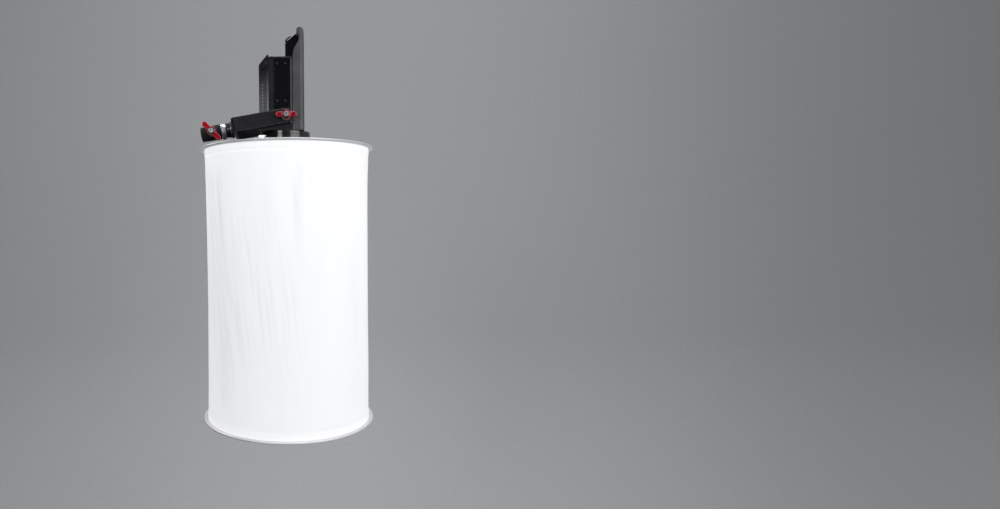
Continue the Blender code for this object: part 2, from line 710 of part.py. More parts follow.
def build_lock_pin(home):
    """Pin that stands in a lug's notch and stops the drum from turning."""
    profile = [(0, 15.9 * MM), (1.5 * MM, 15.9 * MM), (2 * MM, 16.4 * MM), (2 * MM, 19.7 * MM),
               (0, 19.7 * MM)]
    return make_object("lock_pin", turned(profile, 16, polar(42 * MM, LEVER_ANGLE)), home, steel())


def spring_points():
    """Points along the lever spring, ten to each turn."""
    low, high = 22.7 * MM, 27.4 * MM
    count = 10 * SPRING_TURNS
    centre = polar(42 * MM, LEVER_ANGLE)
    return [centre + polar(2.2 * MM, 2 * math.pi * step / 10, low + (high - low) * step / count)
            for step in range(count + 1)]


def build_lever_spring(home):
    """Small compression spring that pushes the lock pin down."""
    points = spring_points()
    curve = bpy.data.curves.new("lever_spring", "CURVE")
    curve.dimensions = "3D"
    curve.bevel_depth = SPRING_WIRE / 2
    curve.bevel_resolution = 1
    curve.use_fill_caps = True
    path = curve.splines.new("POLY")
    path.points.add(len(points) - 1)
    for spot, point in zip(path.points, points):
        spot.co = (*point, 1)
    curve.materials.append(steel())
    thing = bpy.data.objects.new("lever_spring", curve)
    bpy.context.scene.collection.objects.link(thing)
    thing.parent = home
    thing.location = -Vector(home["point"])
    least = min((first - second).length
                for number, first in enumerate(points) for second in points[number + 8:])
    print(f"lever_spring: least gap between turns {(least - SPRING_WIRE) / MM:.2f} mm")
    return thing


def build_cover_glass(home):
    """Clear disc on the bezel's ledge."""
    low = BODY_LOW + 1.7 * MM
    shape = cylinder(PORT_RADIUS - 2 * GAP, low, low + 2.5 * MM, 32)
    return make_object("cover_glass", shape, home, clear_glass())


def build_glass_ring(home):
    """Ring that holds the glass down."""
    low, high = 35.8 * MM, 37.6 * MM
    inner, outer = 25.6 * MM, PORT_RADIUS - 2 * GAP
    shape = turned([(inner, low), (outer, low), (outer, high), (inner, high)], 24)
    return make_object("glass_ring", shape, home, black_plastic())


def build_reflector(home):
    """Bright cone round the emitter, with a flange on the glass ring."""
    profile = [(24.4 * MM, 37.9 * MM), (29.4 * MM, 37.9 * MM), (29.4 * MM, 38.9 * MM), (25.2 * MM, 38.9 * MM),
               (13.4 * MM, 48.4 * MM), (12.4 * MM, 48.4 * MM)]
    return make_object("reflector", turned(profile, 24), home, polished_metal())


def build_cob_board(home):
    """Square ceramic plate of the light source."""
    shape = prism(rounded(rectangle(-16 * MM, 16 * MM, -16 * MM, 16 * MM, 1.5 * MM), 2), 48.7 * MM, 51 * MM)
    return make_object("cob_board", shape, home, white_ceramic())


def build_cob_emitter(home):
    """Round phosphor field in the middle of the board."""
    return make_object("cob_emitter", cylinder(11 * MM, 47.6 * MM, 48.4 * MM, 20), home, phosphor())


def build_heat_sink(home):
    """Comb of fins on a base plate that reaches under the LED board."""
    half, base, foot, top = 29.5 * MM, 51.3 * MM, 58 * MM, 138 * MM
    fin = 1.6 * MM
    pitch = (2 * half - fin) / (FIN_COUNT - 1)
    comb = [(-half, base), (half, base)]
    for number in range(FIN_COUNT):
        outer = half - pitch * number
        comb += [(outer, top), (outer - fin, top)]
        if number < FIN_COUNT - 1:
            comb += [(outer - fin, foot), (outer - pitch, foot)]
    thing = make_object("heat_sink", prism(comb, -45 * MM, 20 * MM, "X"), home, raw_aluminium())
    room = bmesh.new()
    add_block(room, (9.7 * MM, -33 * MM, 57.6 * MM), (23 * MM, 33 * MM, 142 * MM))
    cut(thing, room)
    return thing


def build_fan_frame(home):
    """Square fan housing with a round duct and a motor seat on three struts."""
    half = FAN_SIZE / 2
    outline = rounded(rectangle(FAN_X - half, FAN_X + half, -half, half, 4 * MM), 3)
    thing = make_object("fan_frame", prism(outline, FAN_LOW, FAN_HIGH), home, black_plastic())
    centre = (FAN_X, 0, 0)
    cut(thing, cylinder(28.2 * MM, FAN_LOW - 1 * MM, FAN_HIGH + 1 * MM, 28, centre))
    fuse(thing, cylinder(13 * MM, FAN_LOW, FAN_LOW + 1.8 * MM, 20, centre))
    struts = bmesh.new()
    for number in range(3):
        strut = prism(rounded(rectangle(12 * MM, 29 * MM, -2 * MM, 2 * MM)), FAN_LOW + 0.1 * MM,
                      FAN_LOW + 1.7 * MM)
        spin = Matrix.Translation(centre) @ Matrix.Rotation((30 + 120 * number) * DEG, 4, "Z")
        bmesh.ops.transform(strut, matrix=spin, verts=strut.verts)
        mesh = bpy.data.meshes.new("strut")
        strut.to_mesh(mesh)
        strut.free()
        struts.from_mesh(mesh)
    fuse(thing, struts)
    return thing


def add_blade(shape, number):
    """Adds one twisted fan blade that starts inside the hub."""
    turn = 2 * math.pi * number / BLADE_COUNT
    sections = []
    for radius, pitch, chord in ((11.5 * MM, 52 * DEG, 12 * MM), (19 * MM, 42 * DEG, 13.5 * MM),
                                 (26.6 * MM, 33 * DEG, 14.5 * MM)):
        along = Vector((0, math.cos(pitch), math.sin(pitch)))
        across = Vector((0, -math.sin(pitch), math.cos(pitch))) * 0.6 * MM
        middle = Vector((radius, 0, 149 * MM))
        half = along * min(chord, 9.6 * MM / math.sin(pitch)) / 2
        sections.append([shape.verts.new(middle + a + b) for a, b in
                         ((-half, -across), (half, -across), (half, across), (-half, across))])
    spin = Matrix.Translation((FAN_X, 0, 0)) @ Matrix.Rotation(turn, 4, "Z")
    bmesh.ops.transform(shape, matrix=spin, verts=[vert for section in sections for vert in section])
    for first, second in zip(sections, sections[1:]):
        for side in range(4):
            after = (side + 1) % 4
            shape.faces.new((first[side], first[after], second[after], second[side]))
    shape.faces.new(sections[0])
    shape.faces.new(sections[-1])


def build_fan_rotor(home):
    """Fan hub with its twisted blades."""
    hub = [(0, 143.4 * MM), (12.4 * MM, 143.4 * MM), (12.4 * MM, 153.6 * MM), (11.2 * MM, 154.8 * MM),
           (0, 154.8 * MM)]
    thing = make_object("fan_rotor", turned(hub, 24, (FAN_X, 0, 0)), home, black_plastic())
    blades = bmesh.new()
    for number in range(BLADE_COUNT):
        add_blade(blades, number)
    fuse(thing, blades)
    return thing


def build_driver_board(home):
    """Driver electronics in the spine: a board with a coil, two capacitors and a finned block."""
    shape = bmesh.new()
    add_block(shape, (17 * MM, -34 * MM, 68 * MM), (18.6 * MM, 34 * MM, 160 * MM))
    thing = make_object("driver_board", shape, home, green_board())
    parts = bmesh.new()
    add_turned(parts, [(0, -0.2 * MM), (11 * MM, -0.2 * MM), (11 * MM, 9 * MM), (0, 9 * MM)], 20,
               (18.6 * MM, 14 * MM, 92 * MM), (1, 0, 0))
    for z in (118 * MM, 136 * MM):
        add_turned(parts, [(0, -0.2 * MM), (6 * MM, -0.2 * MM), (6 * MM, 12 * MM), (0, 12 * MM)], 16,
                   (18.6 * MM, 20 * MM, z), (1, 0, 0))
    add_block(parts, (18.4 * MM, -26 * MM, 84 * MM), (27 * MM, -10 * MM, 124 * MM))
    fuse(thing, parts)
    return thing


def build_grille_screw(name, home, side):
    """Screw at a rear corner of the perforated shell."""
    shape = bmesh.new()
    add_cap_screw(shape, (-39 * MM, side * (46 * MM + GAP), 160.5 * MM), (0, side, 0), 2.4 * MM, 1.1 * MM,
                  1.2 * MM, 0.2 * MM, 10)
    return make_object(name, shape, home, black_screw())


def build_speed_ring(home):
    """Ring that locks the drum to the lamp: a ledge for the cloth, a seat for the spokes and three lugs."""
    collar, inner = 39.9 * MM, 36.6 * MM
    profile = [(inner, -2 * MM), (70 * MM, -2 * MM), (70 * MM, 0), (58 * MM, 0), (58 * MM, 2 * MM),
               (48 * MM, 2 * MM), (48 * MM, 11.7 * MM), (collar, 11.7 * MM), (collar, 18.6 * MM),
               (inner, 18.6 * MM)]
    thing = make_object("speed_ring", turned(profile, 36), home, raw_aluminium())
    lugs = bmesh.new()
    for number in range(3):
        middle = LEVER_ANGLE + 120 * number * DEG
        add_prism(lugs, sector(39 * MM, 43.9 * MM, middle, 30 * DEG), 15.6 * MM, 18.5 * MM)
    fuse(thing, lugs)
    cut(thing, cylinder(2.5 * MM, 14 * MM, 20 * MM, 16, polar(42 * MM, LEVER_ANGLE)))
    return thing


def spoke_angles():
    """Angles of the spokes about the drum's axis."""
    return [FIRST_SPOKE + 2 * math.pi * number / SPOKE_COUNT for number in range(SPOKE_COUNT)]


def build_spoke(name, home, angle):
    """Flat bar from the speed ring to the hoop's ledge, with a pressed rib and a rivet at its outer end."""
    low = 2 * MM + GAP
    flat = rounded(rectangle(49 * MM, 162.4 * MM, -6 * MM, 6 * MM, 5.5 * MM), 4)
    bar = prism(flat, low, low + SPOKE_THICKNESS)
    rib = prism([(-2.5 * MM, low + 2 * MM), (2.5 * MM, low + 2 * MM), (1.2 * MM, low + 3.4 * MM),
                 (-1.2 * MM, low + 3.4 * MM)], 66 * MM, 150 * MM, "X")
    for shape in (bar, rib):
        bmesh.ops.rotate(shape, verts=shape.verts, matrix=Matrix.Rotation(angle, 3, "Z"))
    thing = make_object(name, bar, home, steel())
    fuse(thing, rib)
    rivet = [(0, 1 * MM), (3 * MM, 1 * MM), (3 * MM, SPOKE_THICKNESS + 0.3 * MM),
             (2 * MM, SPOKE_THICKNESS + 0.8 * MM), (0, SPOKE_THICKNESS + 0.9 * MM)]
    fuse(thing, turned(rivet, 10, polar(RIVET_RADIUS, angle, low)))
    return thing


def build_spoke_screw(name, home, angle):
    """Screw that holds a spoke's inner end to the speed ring."""
    shape = bmesh.new()
    seat = 2 * MM + GAP + SPOKE_THICKNESS + GAP
    add_cap_screw(shape, polar(55 * MM, angle, seat), (0, 0, 1), 3 * MM, 1.6 * MM, 1.4 * MM, 0.2 * MM, 10)
    return make_object(name, shape, home, polished_metal())


def hoop_profile(height, side):
    """Section of a hoop: rounded flange, ledge for the end cloth and a collar inside the side cloth."""
    foot = 2 * MM
    rim = 1.2 * MM
    section = [(HOOP_RADIUS - rim, -foot), (HOOP_RADIUS, rim - foot), (HOOP_RADIUS, foot - rim),
               (HOOP_RADIUS - rim, foot), (163 * MM, foot), (163 * MM, 0), (156 * MM, 0), (156 * MM, -foot),
               (161.5 * MM, -foot), (161.5 * MM, -14.5 * MM), (COLLAR_RADIUS, -14.5 * MM),
               (COLLAR_RADIUS, -foot)]
    return [(radius, height + side * level) for radius, level in section]


def build_hoop(name, home, height, side):
    """Silver hoop with its collar turned towards the drum's middle."""
    return make_object(name, turned(hoop_profile(height, side), RING_STEPS), home, hoop_silver())


def build_binding(name, home, height, side):
    """White tape that binds the cloth to a hoop's collar."""
    inner = COLLAR_RADIUS + CLOTH_THICKNESS + 2 * GAP
    outer = inner + 0.9 * MM
    near, far = -2 * MM - GAP, -13 * MM
    profile = [(inner, height + side * near), (outer, height + side * near), (outer, height + side * far),
               (inner, height + side * far)]
    return make_object(name, turned(profile, RING_STEPS), home, white_tape())


def build_top_panel(home):
    """Black cloth ring that closes the drum's top, on the ledges of the hoop and the speed ring."""
    low, high = GAP, 2 * MM
    profile = [(58.4 * MM, low), (162.6 * MM, low), (162.6 * MM, high), (58.4 * MM, high)]
    return make_object("top_panel", turned(profile, RING_STEPS), home, black_cloth())


def build_bottom_silk(home):
    """White cloth disc stretched across the drum's bottom, under the hoop's ledge."""
    face = -DRUM_HEIGHT - GAP
    disc = cylinder(162.6 * MM, face - 1.2 * MM, face, RING_STEPS)
    return make_object("bottom_silk", disc, home, white_silk())


# Each fold of the side cloth: angle at the top, drift down the drum, depth, width, where it starts and ends
FOLDS = [(203, 4, 2.6, 7, 0.02, 1.0), (214, 9, 2.2, 6, 0.05, 1.0), (226, 7, 1.6, 7, 0.0, 0.8),
         (277, -2, 1.2, 5, 0.0, 0.3), (284, 1, 1.0, 5, 0.0, 0.26), (318, 3, 1.0, 9, 0.35, 1.0),
         (352, -5, 1.4, 8, 0.0, 0.7), (24, 4, 1.8, 7, 0.1, 1.0), (63, -6, 2.0, 8, 0.0, 0.9),
         (101, 5, 1.7, 7, 0.2, 1.0), (138, -4, 2.2, 8, 0.0, 1.0), (172, 6, 2.0, 7, 0.0, 0.75)]
WAIST = 2.2 * MM


def smooth_step(value):
    """Rises from 0 to 1 with flat ends."""
    value = min(max(value, 0.0), 1.0)
    return value * value * (3 - 2 * value)


def cloth_inset(angle, depth):
    """How far the side cloth is drawn in at an angle and at a depth of 0 to 1 down the drum."""
    hold = smooth_step((depth - 0.03) / 0.1) * smooth_step((0.97 - depth) / 0.1)
    side = 0.5 - 0.5 * math.cos(angle - 20 * DEG)
    inset = WAIST * side * math.sin(math.pi * depth)
    for turn, drift, deep, width, start, end in FOLDS:
        middle = (turn + drift * depth) * DEG
        away = (angle - middle + math.pi) % (2 * math.pi) - math.pi
        along = smooth_step((depth - start + 0.1) / 0.2) * smooth_step((end + 0.1 - depth) / 0.2)
        inset += deep * MM * along * math.exp(-(away / (width * DEG)) ** 2)
    return inset * hold


def build_side_silk(home):
    """White cloth tube with soft hanging folds and a slight waist, held straight at both hoops."""
    top, bottom = -2 * MM - GAP, -DRUM_HEIGHT + 2 * MM + GAP
    depths = (0, 0.03, 0.11, 0.22, 0.37, 0.53, 0.69, 0.84, 0.96, 1.0)
    turns = [2 * math.pi * step / RING_STEPS for step in range(RING_STEPS)]
    shape = bmesh.new()
    skins = []
    for radius in (COLLAR_RADIUS + GAP, COLLAR_RADIUS + GAP + CLOTH_THICKNESS):
        rows = []
        for depth in depths:
            level = top + (bottom - top) * depth
            rows.append([shape.verts.new(polar(radius - cloth_inset(turn, depth), turn, level))
                         for turn in turns])
        skins.append(rows)
    inner, outer = skins
    bands = [pair for rows in skins for pair in zip(rows, rows[1:])]
    bands += [(inner[0], outer[0]), (inner[-1], outer[-1])]
    for first, second in bands:
        for step in range(RING_STEPS):
            after = (step + 1) % RING_STEPS
            shape.faces.new((first[step], first[after], second[after], second[step]))
    return make_object("side_silk", shape, home, white_silk())


def build_yoke_group(socket):
    """The fixed parts of the yoke, the clamp and the tilt knob."""
    clamp = make_empty("clamp_axis", socket, (CLAMP_X, 0, 0))
    knob = make_empty("tilt_knob_axis", socket, (SOCKET_TO_PIVOT, 0, 0))
    build_yoke(socket)
    build_receiver(socket)
    build_receiver_collar(socket)
    build_receiver_screw(socket)
    build_far_pivot_screw(socket)
    build_pivot_ring("friction_washer_near", socket, -1, 49 * MM, 50.7 * MM, 12 * MM, fibre())
    build_pivot_ring("friction_washer_far", socket, 1, 49 * MM, 50.7 * MM, 12 * MM, fibre())
    build_clamp_shoe(clamp)
    build_knob_screw("clamp_screw", clamp, CLAMP_X, 11.5 * MM, 35 * MM)
    build_wing_knob("clamp_knob", clamp, CLAMP_X, 23 * MM, 35 * MM, CLAMP_KNOB_REACH, CLAMP_KNOB_TURN)
    face = ARM_FACE + YOKE_THICKNESS
    build_pivot_ring("tilt_washer", knob, -1, face + GAP, face + 1.8 * MM, 10 * MM, steel())
    hub = face + 1.8 * MM + GAP
    build_knob_screw("tilt_screw", knob, SOCKET_TO_PIVOT, 37 * MM, hub + 11 * MM)
    build_wing_knob("tilt_knob", knob, SOCKET_TO_PIVOT, hub, hub + 11 * MM, TILT_KNOB_REACH, TILT_KNOB_TURN)


def build_lamp_group(tilt):
    """The lamp head, which turns about the tilt axis."""
    fan = make_empty("fan_axis", tilt, (FAN_X, 0, FAN_LOW))
    for side, word in ((-1, "near"), (1, "far")):
        build_pivot_bush(f"pivot_bush_{word}", tilt, side)
        build_side_panel(f"side_panel_{word}", tilt, side)
        build_grille_screw(f"grille_screw_{word}", tilt, side)
    for build in (build_chassis, build_spine_cover, build_rear_cap, build_rear_housing, build_rear_trim,
                  build_power_inlet, build_inlet_insert, build_rear_plate, build_grille_shell, build_bezel,
                  build_cover_glass, build_glass_ring, build_reflector, build_cob_board, build_cob_emitter,
                  build_heat_sink, build_fan_frame, build_driver_board):
        build(tilt)
    build_fan_rotor(fan)


def build_mount_group(drum):
    """The neck under the lamp, its bayonet and the sprung lock."""
    release = make_empty("release_axis", drum, polar(42 * MM, LEVER_ANGLE, 16 * MM))
    build_mount_neck(drum)
    build_bayonet_plate(drum)
    build_lever_spring(drum)
    build_release_lever(release)
    build_lock_pin(release)


def build_drum_group(drum):
    """The lantern drum, whose bottom hoop rises when it is folded flat."""
    lower = make_empty("lower_hoop_axis", drum, (0, 0, -DRUM_HEIGHT))
    build_speed_ring(drum)
    for number, angle in enumerate(spoke_angles(), 1):
        build_spoke(f"spoke_{number}", drum, angle)
        build_spoke_screw(f"spoke_screw_{number}", drum, angle)
    build_top_panel(drum)
    build_hoop("top_hoop", drum, 0.0, 1)
    build_binding("top_binding", drum, 0.0, 1)
    build_side_silk(drum)
    build_hoop("bottom_hoop", lower, -DRUM_HEIGHT, -1)
    build_binding("bottom_binding", lower, -DRUM_HEIGHT, -1)
    build_bottom_silk(lower)


def main():
    """Builds the light about the mouth of its stand socket."""
    clear_scene()
    socket = make_empty("socket_frame", None, (0, 0, 0))
    socket.rotation_euler = (0, -YOKE_SLOPE, 0)
    pivot = Vector((SOCKET_TO_PIVOT * math.cos(YOKE_SLOPE), 0, SOCKET_TO_PIVOT * math.sin(YOKE_SLOPE)))
    head = make_empty("head_frame", None, pivot - Vector((0, 0, PIVOT_HEIGHT)))
    tilt = make_empty("tilt_axis", head, (0, 0, PIVOT_HEIGHT))
    drum = make_frame("drum_frame", tilt, (0, 0, -HEAD_RISE))
    build_yoke_group(socket)
    build_lamp_group(tilt)
    build_mount_group(drum)
    build_drum_group(drum)


main()
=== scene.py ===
"""Looks of the space light: an LED lamp head in a tilting yoke, over a collapsible drum of white cloth.

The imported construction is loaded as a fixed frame, and every piece made here rides on one of its bodies.
Pieces are drawn in one of three homes: the yoke's, which runs from the mouth of the stand socket towards the
lamp, the drum's, which runs up the drum's axis from the plane of the top hoop, and the head's, a little
higher on the same axis. Lengths are in metres.
"""
import json
import logging
import math
from dataclasses import dataclass, replace
from enum import Enum
from typing import Any, Callable, Optional, Sequence

import bmesh
import bpy
from mathutils import Matrix, Vector, noise

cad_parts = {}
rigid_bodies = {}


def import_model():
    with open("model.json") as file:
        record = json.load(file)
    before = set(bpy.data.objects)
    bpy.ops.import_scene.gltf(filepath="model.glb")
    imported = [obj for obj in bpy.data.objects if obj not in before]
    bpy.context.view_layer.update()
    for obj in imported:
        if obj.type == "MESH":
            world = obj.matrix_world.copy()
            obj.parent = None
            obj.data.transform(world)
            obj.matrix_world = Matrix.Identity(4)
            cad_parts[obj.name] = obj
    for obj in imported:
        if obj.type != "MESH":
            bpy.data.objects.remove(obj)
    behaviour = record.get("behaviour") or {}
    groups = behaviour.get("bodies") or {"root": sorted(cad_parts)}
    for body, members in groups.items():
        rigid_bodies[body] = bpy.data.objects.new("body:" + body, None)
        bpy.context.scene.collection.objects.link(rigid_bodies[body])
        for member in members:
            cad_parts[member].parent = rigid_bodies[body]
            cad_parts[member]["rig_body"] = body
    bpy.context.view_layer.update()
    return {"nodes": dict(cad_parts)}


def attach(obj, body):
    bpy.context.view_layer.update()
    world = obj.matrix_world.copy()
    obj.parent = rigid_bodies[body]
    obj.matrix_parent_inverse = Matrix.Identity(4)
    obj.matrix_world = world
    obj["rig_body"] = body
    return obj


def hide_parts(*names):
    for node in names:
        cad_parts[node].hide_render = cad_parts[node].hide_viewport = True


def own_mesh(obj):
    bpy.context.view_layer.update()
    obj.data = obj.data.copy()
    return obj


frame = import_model()

log = logging.getLogger("space_light")

MM = 0.001
DEG = math.pi / 180
GAP = 0.3 * MM

YOKE_SLOPE = 9.5 * DEG
SOCKET_TO_PIVOT = 175 * MM
PIVOT_HEIGHT = 58 * MM
HEAD_RISE = 3.5 * MM
PIVOT_HOLE = 4.4 * MM
LEVER_ANGLE = 215 * DEG
LOCK_RADIUS = 42 * MM

CENTRE = (0.0, 0.0, 0.0)
AHEAD = (1.0, 0.0, 0.0)
ACROSS = (0.0, 1.0, 0.0)
NEAR = (0.0, -1.0, 0.0)
UP = (0.0, 0.0, 1.0)
SIDES = ((-1, "near"), (1, "far"))

Point = tuple[float, float]
Outline = list[Point]
Colour = tuple[float, float, float]
Place = Sequence[float]
Socket = bpy.types.NodeSocket
Thing = bpy.types.Object
Things = list[Thing]
Corners = list[tuple[float, ...]]


class Home(Enum):
    """Frames that the pieces are drawn in."""

    YOKE = "from the socket's mouth towards the lamp"
    HEAD = "up the lamp's axis, under the pivot"
    DRUM = "up the drum's axis from the top hoop"

    def matrix(self) -> Matrix:
        """Gives the way from this home to the row frame.

        Returns:
            The home's matrix.
        """
        slope = Matrix.Rotation(-YOKE_SLOPE, 4, "Y")
        if self is Home.YOKE:
            return slope
        pivot = slope @ Vector((SOCKET_TO_PIVOT, 0, 0))
        below = PIVOT_HEIGHT if self is Home.HEAD else PIVOT_HEIGHT + HEAD_RISE
        return Matrix.Translation(pivot - Vector((0, 0, below)))


class Axis(Enum):
    """Directions that an outline is extruded along, as the order of its coordinates."""

    X = (2, 0, 1)
    Y = (0, 2, 1)
    Z = (0, 1, 2)

    def point(self, a: float, b: float, depth: float) -> Vector:
        """Returns the point with outline coordinates a and b at a depth along the axis."""
        values = (a, b, depth)
        return Vector([values[index] for index in self.value])


class Join(Enum):
    """Ways that a tool shape acts on a shape."""

    CUT = "DIFFERENCE"
    FUSE = "UNION"
    KEEP = "INTERSECT"


def polar(radius: float, angle: float, height: float = 0.0) -> Vector:
    """Returns the point at a radius, angle and height."""
    return Vector((radius * math.cos(angle), radius * math.sin(angle), height))


def smooth_step(value: float) -> float:
    """Returns a rise from 0 to 1 with flat ends."""
    value = min(max(value, 0.0), 1.0)
    return value * value * (3 - 2 * value)


def circle(steps: int) -> list[float]:
    """Returns evenly spaced angles round a circle."""
    return [2 * math.pi * step / steps for step in range(steps)]


def mm(*corners: Place) -> Corners:
    """Turns corners given in millimetres into metres."""
    return [tuple(value * MM for value in corner) for corner in corners]


def mirrored(corners: Corners) -> Corners:
    """Returns corners followed by their images across the first coordinate's axis, in reverse."""
    return corners + [(a, -b, *rest) for a, b, *rest in reversed(corners)]


def arc(centre: Place, radius: float, start: float, end: float, steps: int = 6) -> Outline:
    """Returns points on an arc between two angles."""
    turns = [start + (end - start) * step / steps for step in range(steps + 1)]
    return [(centre[0] + radius * math.cos(turn), centre[1] + radius * math.sin(turn)) for turn in turns]


def sector(inner: float, outer: float, middle: float, width: float, steps: int = 12) -> Outline:
    """Returns the outline of a ring's sector about a middle angle."""
    start, end = middle - width / 2, middle + width / 2
    return arc((0, 0), outer, start, end, steps) + arc((0, 0), inner, end, start, steps)


def rod(radius: float, low: float, high: float) -> Outline:
    """Returns the profile of a solid rod."""
    return [(0, low), (radius, low), (radius, high), (0, high)]


def collar(inner: float, outer: float, low: float, high: float, edge: float) -> Outline:
    """Returns the profile of a flat ring whose two outer edges are broken."""
    wall = [(outer - edge, low), (outer, low + edge), (outer, high - edge), (outer - edge, high)]
    return [(inner, low), *wall, (inner, high)]


def rounded(corners: Sequence[Place], steps: int = 8) -> Outline:
    """Rounds the corners of an outline.

    Args:
        corners: The (a, b, radius) of each corner, in order. A radius of 0 keeps it sharp.
        steps: How many chords each round corner has.

    Returns:
        The closed outline's points.
    """
    outline: Outline = []
    for number, (a, b, radius) in enumerate(corners):
        here = Vector((a, b))
        if not radius:
            outline.append((a, b))
            continue
        before = (Vector(corners[number - 1][:2]) - here).normalized()
        after = (Vector(corners[(number + 1) % len(corners)][:2]) - here).normalized()
        half = before.angle(after) / 2
        middle = here + (before + after).normalized() * (radius / math.sin(half))
        start = here + before * (radius / math.tan(half)) - middle
        end = here + after * (radius / math.tan(half)) - middle
        first = math.atan2(start.y, start.x)
        sweep = (math.atan2(end.y, end.x) - first + math.pi) % (2 * math.pi) - math.pi
        outline += arc(middle, radius, first, first + sweep, steps)
    return outline


def rectangle(low_a: float, high_a: float, low_b: float, high_b: float, radius: float = 0.0,
              steps: int = 8) -> Outline:
    """Returns the outline of a rectangle with round corners."""
    corners = ((low_a, low_b), (high_a, low_b), (high_a, high_b), (low_a, high_b))
    return rounded([(*corner, radius) for corner in corners], steps)


def turned_to(aim: Place, centre: Place = CENTRE) -> Matrix:
    """Returns the way from an upright shape to one that points along an aim from a centre."""
    return Matrix.Translation(centre) @ Vector(UP).rotation_difference(Vector(aim)).to_matrix().to_4x4()


def enter(name: str, data: Any) -> Thing:
    """Puts a new object into the scene.

    Args:
        name: Its name.
        data: The mesh, light or camera that it shows.

    Returns:
        The object.
    """
    thing = bpy.data.objects.new(name, data)
    bpy.context.scene.collection.objects.link(thing)
    return thing


